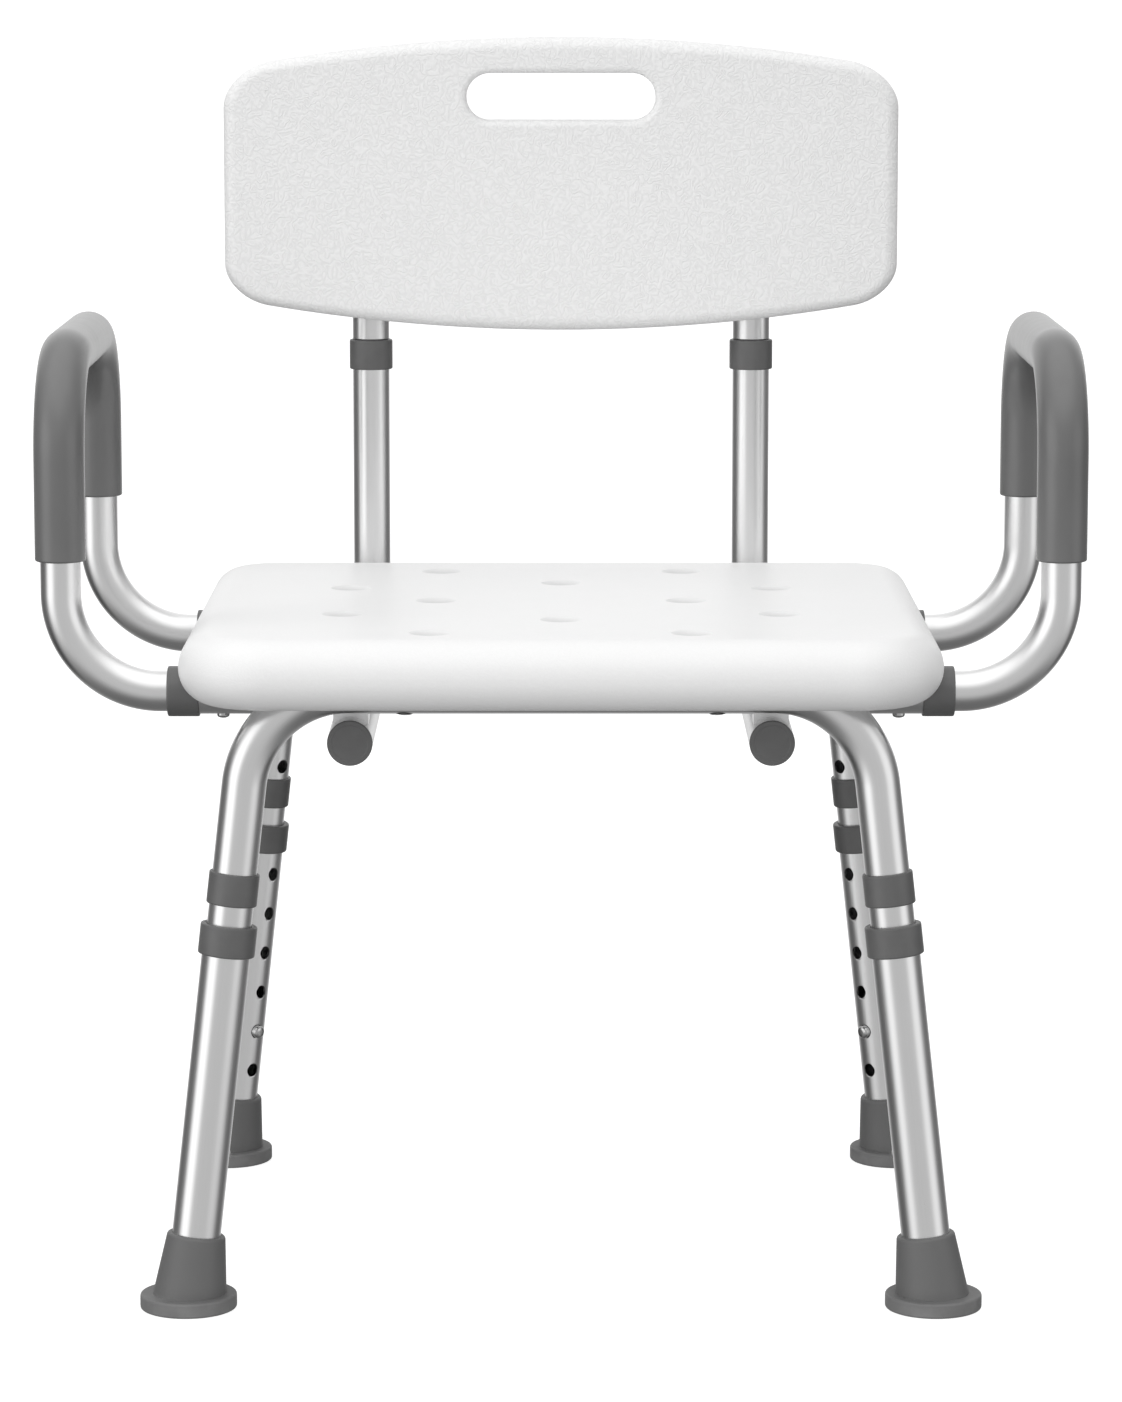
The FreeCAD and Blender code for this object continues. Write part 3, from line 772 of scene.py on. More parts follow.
def turned(
    name: str, profile: Profile, origin: Vector, axis: Vector, closed: bool = False, sides: int = TURN_SIDES
) -> Piece:
    """A solid of revolution.

    Args:
        name: the object's name.
        profile: (radius, height) points, with the outside on the right going up.
        origin: where height 0 is.
        axis: the direction of height.
        closed: whether the profile is a loop that stays off the axis.
        sides: the number of segments around.

    Returns:
        The object.
    """
    shape = bmesh.new()
    rings = []
    for r, h in profile:
        if r < AXIS_REACH:
            rings.append([shape.verts.new((0, 0, h))] * sides)
        else:
            turns = (2 * math.pi * k / sides for k in range(sides))
            rings.append([shape.verts.new((r * math.cos(a), r * math.sin(a), h)) for a in turns])
    pairs = list(zip(rings, rings[1:])) + ([(rings[-1], rings[0])] if closed else [])
    for low, high in pairs:
        for k in range(sides):
            n = (k + 1) % sides
            corners = list(dict.fromkeys((low[k], low[n], high[n], high[k])))
            if len(corners) > 2:
                shape.faces.new(corners)
    bmesh.ops.recalc_face_normals(shape, faces=shape.faces)
    shape.transform(turning(origin, axis))
    return shaped(name, shape)


def spotted(name: str, spots: Sequence[Spot], part: Piece, finish: Finish) -> Piece:
    """Copies of a part on several spots, as one piece.

    Args:
        name: the piece's name.
        spots: (place, facing) of each copy.
        part: the object that is copied, which is then deleted.
        finish: the finish of the copies.

    Returns:
        The piece.
    """
    piece = mesh_object(name, [place for place, _ in spots])
    facing = piece.data.attributes.new("facing", "FLOAT_VECTOR", "POINT")
    facing.data.foreach_set("vector", [c for _, direction in spots for c in direction])
    spot_tree().put_on(piece, {"Part": part, "Finish": finish.material()})
    settled(piece)
    remove(part)
    return piece


def drill(surface: float, radius: float, flare: float = 0.0007, depth: float = 0.0005) -> Piece:
    """A drill that leaves a small chamfer where it meets a tube's surface.

    Args:
        surface: the tube's radius.
        radius: the hole's radius.
        flare: how much wider the chamfer's rim is.
        depth: the chamfer's depth.

    Returns:
        The drill, which points outwards from the tube's axis.
    """
    rim, end = radius + flare, surface * 1.6
    profile = [(0, 0), (radius, 0), (radius, surface - depth), (rim, surface), (rim, end), (0, end)]
    return turned("drill", profile, Vector(), Z, sides=40)


@dataclass(frozen=True)
class Tube:
    """A round tube: the corners of its line, its section and the holes through one wall."""

    name: str
    corners: Sequence[Vector]
    radius: float
    wall: float
    bend: float = 0.0
    holes: Sequence[Spot] = ()
    hole_radius: float = 0.0041
    rim: float = 0.0
    bend_steps: int = 20

    def skin(self, name: str, radius: float, finish: Finish) -> Piece:
        """The swept skin of the tube.

        Args:
            name: the object's name.
            radius: the skin's radius.
            finish: its finish.

        Returns:
            The object, with the sweep still as a modifier.
        """
        links = [(i, i + 1) for i in range(len(self.corners) - 1)]
        piece = mesh_object(name, self.corners, links)
        values = {
            "Radius": radius,
            "Bend radius": self.bend,
            "Bend steps": self.bend_steps,
            "Sides": TUBE_SIDES,
            "Finish": finish.material(),
        }
        tube_tree().put_on(piece, values)
        return piece

    def piece(self, finish: Finish) -> Piece:
        """The hollow tube with its holes, and with rounded ends when it has a rim.

        Args:
            finish: its finish.

        Returns:
            The object.
        """
        made = self.skin(self.name, self.radius, finish)
        shell = made.modifiers.new("wall", "SOLIDIFY")
        shell.thickness = self.wall
        shell.offset = -1.0
        if self.rim:
            soft = made.modifiers.new("rim", "BEVEL")
            soft.width = self.rim
            soft.segments = 4
            soft.angle_limit = math.radians(60)
        if self.holes:
            drills = spotted("drills", self.holes, drill(self.radius, self.hole_radius), finish)
            cut = made.modifiers.new("holes", "BOOLEAN")
            cut.object = drills
            settled(made)
            remove(drills)
        else:
            settled(made)
        return tidy_normals(made)

    def bar(self, name: str, radius: float) -> Piece:
        """A closed round bar along the tube's line, for cutting."""
        return outward(settled(self.skin(name, radius, TUBE)), fill=True)


def carved(piece: Piece, cutters: Sequence[Piece]) -> Piece:
    """Cut closed shapes out of a piece.

    Args:
        piece: the object.
        cutters: the shapes, which are then deleted.

    Returns:
        The same object.
    """
    for cutter in cutters:
        cut = piece.modifiers.new("cut", "BOOLEAN")
        cut.object = cutter
    settled(piece)
    remove(*cutters)
    return piece


class Register:
    """Dresses the finished pieces and ties them to the CAD model."""

    def __init__(self) -> None:
        """Start with no pieces."""
        self.count = 0

    def add(self, piece: Piece, body: str, finish: Finish, *nodes: str) -> Piece:
        """Dress a piece and let it ride.

        Args:
            piece: the finished object.
            body: the CAD body that it moves with.
            finish: its finish.
            nodes: the CAD nodes that it stands for.

        Returns:
            The piece.
        """
        piece.data.materials.clear()
        piece.data.materials.append(finish.material())
        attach(piece, body)
        if nodes:
            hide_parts(*nodes)
        self.count += 1
        LOG.info("%s rides on %s: %d faces", piece.name, body, len(piece.data.polygons))
        return piece

    def bend(
        self,
        piece: Piece,
        bodies: tuple[str, str],
        ends: tuple[Vector, Vector],
        finish: Finish,
        *nodes: str,
    ) -> None:
        """Dress a piece that stays where it is built, between two bodies.

        Args:
            piece: the finished object.
            bodies: the two bodies that it lies between, which are only named in the log.
            ends: where the bend starts and stops; not used.
            finish: its finish.
            nodes: the CAD nodes that it stands for.
        """
        piece.data.materials.append(finish.material())
        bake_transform(piece)
        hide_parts(*nodes)
        self.count += 1
        LOG.info("%s bends between %s and %s", piece.name, *bodies)

    def dress(self, finish: Finish, *nodes: str) -> None:
        """Give CAD nodes that stay in view a finish.

        Args:
            finish: the finish.
            nodes: the names of the CAD nodes.
        """
        for name in nodes:
            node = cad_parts[name]
            node.data.materials.clear()
            node.data.materials.append(finish.material())
            LOG.info("%s keeps its CAD shape", name)


# ---- the moulded panels -------------------------------------------------------------------


@dataclass(frozen=True)
class Slot:
    """A round-ended hole through a panel."""

    reach: float
    radius: float
    height: float
    edge: float

    def outline(self, grown: float, steps: int = 20) -> Points:
        """The points of the slot's rim.

        Args:
            grown: how far the rim lies outside the hole.
            steps: the number of segments in each round end.

        Returns:
            The points, as (across, height).
        """
        points = []
        radius = self.radius + grown
        for side in (1, -1):
            for k in range(steps + 1):
                a = side * (math.pi * k / steps - math.pi / 2)
                across = radius * math.cos(a) * side
                points.append((side * self.reach + across, self.height + radius * math.sin(a)))
        return points


@dataclass(frozen=True)
class RolledPanel:
    """A flat hollow-moulded panel with a rolled edge, as a loft of its outline."""

    half: float
    low: float
    high: float
    floor: float
    roof: float
    edge: float
    corner_low: float
    corner_high: float
    run_steps: int = 1
    corner_steps: int = 18
    roll_steps: int = 14
    slot: Slot | None = None

    def outline(self, inset: float) -> Points:
        """The rounded rectangle of the panel.

        Args:
            inset: how far it is shrunk.

        Returns:
            The points, as (across, along).
        """
        corners = (
            (1, self.low, self.corner_low, -90),
            (1, self.high, self.corner_high, 0),
            (-1, self.high, self.corner_high, 90),
            (-1, self.low, self.corner_low, 180),
        )
        points: Points = []
        for side, end, radius, first in corners:
            inward = 1 if end == self.low else -1
            middle = (side * (self.half - radius), end + inward * radius)
            reach = radius - inset
            arc = []
            for k in range(self.corner_steps + 1):
                a = math.radians(first + 90 * k / self.corner_steps)
                arc.append((middle[0] + reach * math.cos(a), middle[1] + reach * math.sin(a)))
            points += self.run_between(points[-1], arc[0]) if points else []
            points += arc
        return points + self.run_between(points[-1], points[0])

    def run_between(self, start: tuple[float, float], end: tuple[float, float]) -> Points:
        """The points inside a straight run, without its ends."""
        shares = (k / self.run_steps for k in range(1, self.run_steps))
        return [(start[0] + (end[0] - start[0]) * t, start[1] + (end[1] - start[1]) * t) for t in shares]

    def roll(self, edge: float) -> Points:
        """A rolled edge, from the floor to the roof.

        Args:
            edge: the radius of the roll.

        Returns:
            The points, as (inset, depth).
        """
        turns = [math.pi / 2 * k / self.roll_steps for k in range(self.roll_steps + 1)]
        rise = [(edge * (1 - math.sin(a)), self.floor + edge * (1 - math.cos(a))) for a in turns]
        fall = [(inset, self.roof + self.floor - depth) for inset, depth in reversed(rise)]
        return rise + fall

    def object(self, name: str, place: Placing) -> Piece:
        """The panel.

        Args:
            name: the object's name.
            place: turns (across, along, depth) into a point.

        Returns:
            The object.
        """
        shape = bmesh.new()
        lofts = [[(self.outline(inset), depth) for inset, depth in self.roll(self.edge)]]
        if self.slot:
            lofts.append([(self.slot.outline(inset), depth) for inset, depth in self.roll(self.slot.edge)])
        faces_ends: list[list[bmesh.types.BMVert]] = []
        for loft in lofts:
            rings = [[shape.verts.new(place(u, v, depth)) for u, v in points] for points, depth in loft]
            for low, high in zip(rings, rings[1:]):
                for k in range(len(low)):
                    n = (k + 1) % len(low)
                    shape.faces.new((low[k], low[n], high[n], high[k]))
            faces_ends += [rings[0], rings[-1]]
        if self.slot:
            for loops in (faces_ends[0::2], faces_ends[1::2]):
                edges = [shape.edges.get((a, b)) for loop in loops for a, b in zip(loop, loop[1:] + loop[:1])]
                bmesh.ops.triangle_fill(shape, edges=edges, use_beauty=True)
        else:
            for loop in faces_ends:
                shape.faces.new(loop)
        bmesh.ops.recalc_face_normals(shape, faces=shape.faces)
        return shaped(name, shape)


@dataclass(frozen=True)
class Seat:
    """The seat panel with its drains and the channels for the frame's level tubes."""

    edge: float = 0.022
    corner_front: float = 0.056
    corner_rear: float = 0.042
    drain_radius: float = 0.0052
    dish_radius: float = 0.0136
    dish_depth: float = 0.0046
    pitch_middle: float = -0.026
    rows: Sequence[tuple[float, float]] = ((0.0815, 0.1527), (0.0, 0.0905), (0.1395, 0.0645))
    middle_row: tuple[float, float] = (0.0815, 0.001)
    lip: float = 0.0004
    lip_steps: int = 12
    channel_gap: float = 0.0005

    def drain_places(self, top: float) -> list[Spot]:
        """The twelve drains, in staggered rows.

        Args:
            top: the height of the seat's top.

        Returns:
            (place, facing) of each drain.
        """
        spots = {
            (side * x, self.pitch_middle + way * reach)
            for x, reach in self.rows
            for side in (-1, 1)
            for way in (-1, 1)
        }
        x, shift = self.middle_row
        spots |= {(side * x, self.pitch_middle + shift) for side in (-1, 1)}
        return [(Vector((x, y, top)), Z) for x, y in sorted(spots)]

    def drill(self, depth: float) -> Piece:
        """The cutter of a round dish with a hole at its bottom.

        Args:
            depth: how far the hole reaches below the seat's top.

        Returns:
            The cutter, with height 0 at the seat's top.
        """
        run = self.drain_radius + self.lip - self.dish_radius
        radii = [self.dish_radius + run * k / self.lip_steps for k in range(self.lip_steps + 1)]
        dish = [(r, -self.dish_depth * (1 - (r / self.dish_radius) ** 2) + 0.00003) for r in radii]
        profile = [(0, -depth), (self.drain_radius, -depth), (self.drain_radius, dish[-1][1] - self.lip / 2)]
        profile += dish[::-1] + [(self.dish_radius, 0.004), (0, 0.004)]
        return turned("drain_drill", profile, Vector(), Z, sides=48)

    def mark_dishes(self, seat: Piece, top: float) -> None:
        """Store how deep each point lies in a drain's dish, as the attribute hollow, which the seat's finish
        turns into painted shade.

        Args:
            seat: the finished seat.
            top: the height of its top.
        """
        centres = [place.xy for place, _ in self.drain_places(top)]
        depths = []
        for vertex in seat.data.vertices:
            away = min((vertex.co.xy - centre).length for centre in centres) / self.dish_radius
            depths.append(1 - away * away if away < 1 and vertex.co.z > top - 0.012 else 0.0)
        seat.data.attributes.new("hollow", "FLOAT", "POINT").data.foreach_set("value", depths)

    def build(self, register: Register, cutters: Sequence[Piece]) -> None:
        """Make the seat.

        Args:
            register: where the piece goes.
            cutters: closed bars where the frame's tubes lie.
        """
        low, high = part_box("seat_panel")
        panel = RolledPanel(
            half=high.x, low=low.y, high=high.y, floor=low.z, roof=high.z,
            edge=self.edge, corner_low=self.corner_front, corner_high=self.corner_rear,
        )
        seat = panel.object("seat", lambda across, along, depth: (across, along, depth))
        drains = spotted("drains", self.drain_places(high.z), self.drill(high.z - low.z + 0.01), WHITE)
        carved(seat, [drains, *cutters])
        tidy_normals(seat, PANEL_SHARP)
        self.mark_dishes(seat, high.z)
        register.add(seat, "frame", WHITE, "seat_panel")


@dataclass(frozen=True)
class Backrest:
    """The bowed backrest panel with its handle slot, on two tubes that plug into the posts."""

    edge: float = 0.009
    corner_low: float = 0.030
    corner_high: float = 0.033
    bow_radius: float = 1.215
    slot: Slot = Slot(reach=0.04875, radius=0.01625, height=0.74755, edge=0.0045)
    tube_x: float = 0.1318
    tube_radius: float = 0.0127
    tube_wall: float = 0.0015
    tube_gap: float = 0.0002
    spigot_radius: float = 0.01115
    hole_radius: float = 0.0041
    screw_heights: Sequence[float] = (0.630, 0.700)
    button_height: float = 0.538

    def panel(self) -> Piece:
        """The panel, bowed and cut for its tubes.

        Returns:
            The object.
        """
        low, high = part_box("backrest_panel")
        flat = RolledPanel(
            half=high.x, low=low.z, high=high.z, floor=low.y, roof=high.y,
            edge=self.edge, corner_low=self.corner_low, corner_high=self.corner_high,
            run_steps=36, corner_steps=14, roll_steps=8, slot=self.slot,
        )
        panel = flat.object("backrest", lambda across, along, depth: (across, depth, along))
        values = {
            "Bow radius": self.bow_radius,
            "Middle": (low.z + high.z) / 2,
            "Half height": (high.z - low.z) / 2,
            "Finish": GRAINED.material(),
        }
        bow_tree().put_on(panel, values)
        settled(panel)
        cutters = []
        for side in Side:
            name = "back_tube_" + label(side)
            start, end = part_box(name)
            x, y = (start.x + end.x) / 2, (start.y + end.y) / 2
            line = (Vector((x, y, low.z - 0.02)), Vector((x, y, end.z + 0.0005)))
            recess = Tube("recess", line, self.tube_radius, 0)
            cutters.append(recess.bar("recess", self.tube_radius + self.tube_gap))
        return tidy_normals(carved(panel, cutters), PANEL_SHARP)

    def tube(self, side: Side) -> Piece:
        """A back tube with its narrowed lower end.

        Args:
            side: the side that it stands on.

        Returns:
            The object.
        """
        name = "back_tube_" + label(side)
        low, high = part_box(name)
        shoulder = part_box("post_collars")[1].z + 0.0003
        inner, spigot_inner = self.tube_radius - self.tube_wall, self.spigot_radius - self.tube_wall
        profile = [
            (spigot_inner, low.z), (self.spigot_radius, low.z), (self.spigot_radius, shoulder),
            (self.tube_radius, shoulder), (self.tube_radius, high.z), (inner, high.z),
            (inner, shoulder + 0.008), (spigot_inner, shoulder + 0.004),
        ]
        x, y = (low.x + high.x) / 2, (low.y + high.y) / 2
        wall = softened(profile, 0.0006, 3, closed=True)
        tube = turned(name + "_tube", wall, Vector((x, y, 0)), Z, closed=True, sides=TUBE_SIDES)
        spot = (Vector((x, y, self.button_height)), Y)
        drills = spotted("drills", [spot], drill(self.spigot_radius, self.hole_radius), TUBE)
        return tidy_normals(carved(tube, [drills]))

    def build(self, register: Register) -> None:
        """Make the panel, its tubes and its screws.

        Args:
            register: where the pieces go.
        """
        register.add(self.panel(), "backrest", GRAINED, "backrest_panel")
        for side in Side:
            register.add(self.tube(side), "backrest", TUBE, "back_tube_" + label(side))
        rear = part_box("back_tube_left")[1].y
        spots = [
            (Vector((side.value * self.tube_x, rear, z)), Y) for side in Side for z in self.screw_heights
        ]
        register.add(Screws().set("backrest_pan_heads", spots), "backrest", STEEL, "backrest_screws")


@dataclass(frozen=True)
class Screws:
    """Pan-head screws with a cross recess."""

    head_radius: float = 0.0048
    head: float = 0.0023
    shank_radius: float = 0.0025
    reach: float = 0.031
    recess: float = 0.0016
    blade_half: float = 0.0004

    def set(self, name: str, spots: Sequence[Spot]) -> Piece:
        """Screws with their heads on the spots.

        Args:
            name: the piece's name.
            spots: (place, facing) of each screw, whose head stands out along facing.

        Returns:
            All the screws, as one piece.
        """
        profile = [
            (0, -self.reach), (self.shank_radius, 0.002 - self.reach), (self.shank_radius, 0),
            (self.head_radius, 0), (self.head_radius, self.head * 0.35),
            (self.head_radius * 0.62, self.head), (0, self.head),
        ]
        screw = turned("screw", softened(profile, 0.0012), Vector(), Z, sides=36)
        blades = []
        for along, across in ((X, Y), (Y, X)):
            corners = [
                along * a * self.recess * 1.7 + across * b * self.blade_half + Z * (self.head + c)
                for a in (-1, 1) for b in (-1, 1) for c in (-self.recess, self.recess)
            ]
            faces = [(0, 1, 3, 2), (4, 6, 7, 5), (0, 4, 5, 1), (2, 3, 7, 6), (0, 2, 6, 4), (1, 5, 7, 3)]
            blades.append(outward(mesh_object("blade", corners, (), faces)))
        carved(screw, blades)
        return tidy_normals(spotted(name, spots, screw, STEEL))


# ---- the frame ----------------------------------------------------------------------------


@dataclass(frozen=True)
class LegLine:
    """The axis of one leg, which leans outwards towards the floor."""

    end: End
    side: Side
    spread_x: float = 0.112
    spread_y: float = 0.04

    def point(self, z: float) -> Vector:
        """The point of the axis at a height.

        Args:
            z: the height over the floor.

        Returns:
            The point.
        """
        low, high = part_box("foot_" + label(self.end, self.side))
        return Vector((
            (low.x + high.x) / 2 - self.side.value * self.spread_x * z,
            (low.y + high.y) / 2 - self.end.value * self.spread_y * z,
            z,
        ))

    def up(self) -> Vector:
        """The direction of the leg, upwards."""
        return (self.point(1.0) - self.point(0.0)).normalized()

    def inward(self, lag: float = 0.0) -> Vector:
        """The direction that the leg's holes face, or a little further round to its side."""
        way = Vector((-self.side.value * (1 + lag), -self.end.value, 0))
        return (way - self.up() * way.dot(self.up())).normalized()


@dataclass(frozen=True)
class Ring:
    """A moulded collar or stop ring with soft rims."""

    inner: float
    outer: float
    length: float
    lip_inner: float
    lip: float = 0.0012
    edge: float = 0.0013

    def part(self, name: str, origin: Vector = Vector(), axis: Vector = Z) -> Piece:
        """The ring, with its lip at the far end.

        Args:
            name: the object's name.
            origin: the middle of its near end.
            axis: the way to its far end.

        Returns:
            The object.
        """
        profile = [
            (self.inner, 0), (self.outer, 0), (self.outer, self.length), (self.lip_inner, self.length),
            (self.lip_inner, self.length - self.lip), (self.inner, self.length - self.lip),
        ]
        return turned(name, softened(profile, self.edge, closed=True), origin, axis, closed=True)


@dataclass(frozen=True)
class Button:
    """A sprung steel button with a domed head on a flange."""

    radius: float = 0.004
    flange: float = 0.0048
    flange_height: float = 0.001

    def piece(self, name: str, centre: Vector, facing: Vector, rest: float, tip: float) -> Piece:
        """The button.

        Args:
            name: the piece's name.
            centre: the point of the tube's axis behind it.
            facing: the way it points.
            rest: the height of its flange over the axis.
            tip: the height of its dome over the axis.

        Returns:
            The object.
        """
        radius, under = self.radius, rest - self.flange_height
        profile = [
            (0, under), (self.flange, under), (self.flange, rest), (radius, rest),
            (radius, tip - 0.0016), (radius * 0.86, tip - 0.0007), (radius * 0.5, tip - 0.0001), (0, tip),
        ]
        return tidy_normals(turned(name, softened(profile, 0.0005), centre, facing, sides=48))


@dataclass(frozen=True)
class Spring:
    """A V of spring strip inside a tube, which carries a button and gives way under it."""

    length: float = 0.042
    width: float = 0.0074
    thick: float = 0.0007
    pad: float = 0.005
    wall_gap: float = 0.0015
    flange: float = 0.00105
    steps: int = 10

    def line(self, foot: float, far: float) -> Points:
        """The strip's middle line: the pad, the near leaf, the bend, the far leaf and its end.

        Args:
            foot: the height of the pad over the axis.
            far: the height of the far leaf's end, which is below the axis.

        Returns:
            The points, as (height, along).
        """
        shares = [k / self.steps for k in range(self.steps + 1)]
        leaf = [(self.pad + (self.length - self.pad) * t, t * t) for t in shares]
        near = [(foot, -self.pad)] + [(foot + (self.thick - foot) * bent, a) for a, bent in leaf]
        away = [(far, -self.pad)] + [(far - (self.thick + far) * bent, a) for a, bent in leaf]
        return near + [(0.0, self.length + self.thick)] + away[::-1]

    def piece(
        self, name: str, centre: Vector, facing: Vector, along: Vector, rest: float, wall: float
    ) -> Piece:
        """The spring.

        Args:
            name: the piece's name.
            centre: the point of the tube's axis under the button.
            facing: the way the button points.
            along: the way from the button to the spring's bend.
            rest: the height of the button's flange over the axis.
            wall: the inner radius of the tube.

        Returns:
            The strip, with its pad under the button.
        """
        foot = rest - self.flange - self.thick / 2
        line = self.line(foot, self.wall_gap + self.thick / 2 - wall)
        across = facing.cross(along).normalized() * self.width / 2
        vertices = []
        for k, (h, a) in enumerate(line):
            before, after = line[max(k - 1, 0)], line[min(k + 1, len(line) - 1)]
            run = Vector((after[0] - before[0], after[1] - before[1])).normalized() * self.thick / 2
            middle = centre + facing * h + along * a
            out = facing * run.y - along * run.x
            vertices += [middle + out + across, middle + out - across]
            vertices += [middle - out - across, middle - out + across]
        faces = [(3, 2, 1, 0), tuple(len(vertices) - 4 + c for c in range(4))]
        for k in range(0, len(vertices) - 4, 4):
            faces += [(k + c, k + (c + 1) % 4, k + 4 + (c + 1) % 4, k + 4 + c) for c in range(4)]
        return outward(mesh_object(name, vertices, (), faces))


@dataclass(frozen=True)
class SnapFit:
    """A button with its spring, set in the wall of a tube."""

    holder: str
    clips: str
    rest: float
    tip: float
    wall: float
    button: Button = Button()
    margin: float = 0.002

    def build(
        self,
        register: Register,
        names: tuple[str, str],
        body: str,
        centre: Vector,
        facing: Vector,
        along: Vector,
    ) -> None:
        """Make both pieces.

        Args:
            register: where the pieces go.
            names: the names of the button and of the spring.
            body: the button's body, which is also its CAD node.
            centre: the point of the tube's axis under the button.
            facing: the way the button points.
            along: the way from the button to the spring's bend.
        """
        snap = self.button.piece(names[0], centre, facing, self.rest, self.tip)
        register.add(snap, body, STEEL, body)
        spring = Spring().piece(names[1], centre, facing, along, self.rest, self.wall)
        ends = (centre - facing * self.margin, centre + facing * (self.rest - self.margin))
        register.bend(spring, (self.holder, body), ends, STEEL, self.clips)


@dataclass(frozen=True)
class Foot:
    """A rubber foot: a treaded flange flat on the floor and a tapered cup along the leg."""

    flange_radius: float = 0.0305
    flange: float = 0.0095
    base_radius: float = 0.0236
    top_radius: float = 0.0183
    top: float = 0.0472
    bore: float = 0.009
    tube_radius: float = 0.0153
    grooves: Sequence[float] = (0.009, 0.0165, 0.024)
    groove_depth: float = 0.0016
    groove_mouth: float = 0.0018
    groove_bottom: float = 0.0012

    def piece(self, name: str, line: LegLine) -> Piece:
        """The foot at the end of a leg.

        Args:
            name: the piece's name.
            line: the leg's axis.

        Returns:
            The object.
        """
        tread: Points = [(0, 0)]
        for r in self.grooves:
            tread += [(r - self.groove_mouth, 0), (r - self.groove_bottom, self.groove_depth)]
            tread += [(r + self.groove_bottom, self.groove_depth), (r + self.groove_mouth, 0)]
        flange = [(self.flange_radius, 0), (self.flange_radius, self.flange), (0, self.flange)]
        foot = turned(name, softened(tread + flange, 0.0018, 5), line.point(0), Z)
        base = line.point(self.flange * 0.5)
        rise = (line.point(self.top) - base).length
        cup = [(0, 0), (self.base_radius, 0), (self.top_radius, rise), (0, rise)]
        cup_part = turned("cup", softened(cup, 0.0022, 5), base, line.up())
        union = foot.modifiers.new("cup", "BOOLEAN")
        union.operation = "UNION"
        union.object = cup_part
        settled(foot)
        remove(cup_part)
        hollow = Tube("bore", (line.point(self.bore), line.point(self.top + 0.02)), self.tube_radius, 0)
        carved(foot, [hollow.bar("bore", self.tube_radius + 0.00002)])
        return tidy_normals(foot, 32.0)


@dataclass(frozen=True)
class Legs:
    """The two inverted-U leg frames and the four sliding legs on them."""

    radius: float = 0.014
    wall: float = 0.0012
    bend: float = 0.066
    upper_end: float = 0.080
    spare_hole: float = 0.286
    lower_radius: float = 0.0153
    lower_wall: float = 0.00125
    lower_end: float = 0.012
    collar: tuple[float, float] = (0.2248, 0.2441)
    stop: tuple[float, float] = (0.2568, 0.2770)
    hole_pitch: float = 0.0282
    hole_radius: float = 0.0047
    hole_lag: float = 0.3
    button_height: float = 0.0967
    stop_radius: float = 0.0159
    collar_radius: float = 0.0179
    button_rest: float = 0.0118
    button_tip: float = 0.0194
    button_gap: float = 0.0003
    flange_reach: float = 0.0004
    holes_below: int = 1
    holes_above: int = 4

    def frame_tube(self, end: End) -> Tube:
        """The upper tube of both legs at one end.

        Args:
            end: the chair's front or rear.

        Returns:
            The tube, bored for its buttons, for a spare hole and behind the lower leg's row.
        """
        name = end.name.lower() + "_leg_frame"
        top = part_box(name)[1].z - self.radius
        left, right = LegLine(end, Side.LEFT), LegLine(end, Side.RIGHT)
        corners = (left.point(self.upper_end), left.point(top), right.point(top), right.point(self.upper_end))
        heights = (self.spare_hole, self.button_height)
        holes = [(line.point(z), line.inward()) for line in (left, right) for z in heights]
        holes += [
            (line.point(self.button_height + k * self.hole_pitch), line.inward(self.hole_lag))
            for line in (left, right) for k in range(1, self.holes_above + 1)
        ]
        bore = self.hole_radius
        return Tube(name + "_tube", corners, self.radius, self.wall, self.bend, holes, bore, bend_steps=28)

    def lower_tube(self, line: LegLine) -> Tube:
        """A sliding lower leg with its row of holes.

        Args:
            line: the leg's axis.

        Returns:
            The tube.
        """
        steps = range(-self.holes_below, self.holes_above + 1)
        holes = [(line.point(self.button_height + k * self.hole_pitch), line.inward()) for k in steps]
        ends = (line.point(self.lower_end), line.point(self.collar[1] - 0.0012))
        name = "lower_leg_" + label(line.end, line.side) + "_tube"
        return Tube(name, ends, self.lower_radius, self.lower_wall, 0, holes, self.hole_radius)

    def build(self, register: Register) -> None:
        """Make the leg frames, stop rings, lower legs, collars, feet and buttons.

        Args:
            register: where the pieces go.
        """
        for end in End:
            register.add(self.frame_tube(end).piece(TUBE), "frame", TUBE, end.name.lower() + "_leg_frame")
        lines = [LegLine(end, side) for end, side in legs()]
        slope = (lines[0].point(1.0) - lines[0].point(0.0)).length
        ring = Ring(self.radius, self.stop_radius, (self.stop[1] - self.stop[0]) * slope, self.radius)
        spots = [(line.point(self.stop[0]), line.up()) for line in lines]
        rings = tidy_normals(spotted("stop_rings", spots, ring.part("ring"), COLLAR))
        register.add(rings, "frame", COLLAR, "leg_stop_rings")
        knob = Button(self.hole_radius - self.button_gap, self.hole_radius + self.flange_reach)
        inner = self.radius - self.wall
        snap = SnapFit("frame", "leg_button_clips", self.button_rest, self.button_tip, inner, knob)
        for line in lines:
            where = label(line.end, line.side)
            body = "leg_" + where
            register.add(self.lower_tube(line).piece(TUBE), body, TUBE, "lower_leg_" + where)
            length = (self.collar[1] - self.collar[0]) * slope
            collar = Ring(self.lower_radius, self.collar_radius, length, self.radius + SLIDE_GAP)
            piece = collar.part("leg_mouth_" + where, line.point(self.collar[0]), line.up())
            register.add(tidy_normals(piece), body, COLLAR, "leg_collar_" + where)
            register.add(Foot().piece("rubber_foot_" + where, line), body, RUBBER, "foot_" + where)
            snap.build(
                register, ("leg_snap_" + where, "leg_spring_" + where), "leg_button_" + where,
                line.point(self.button_height), line.inward(), line.up(),
            )


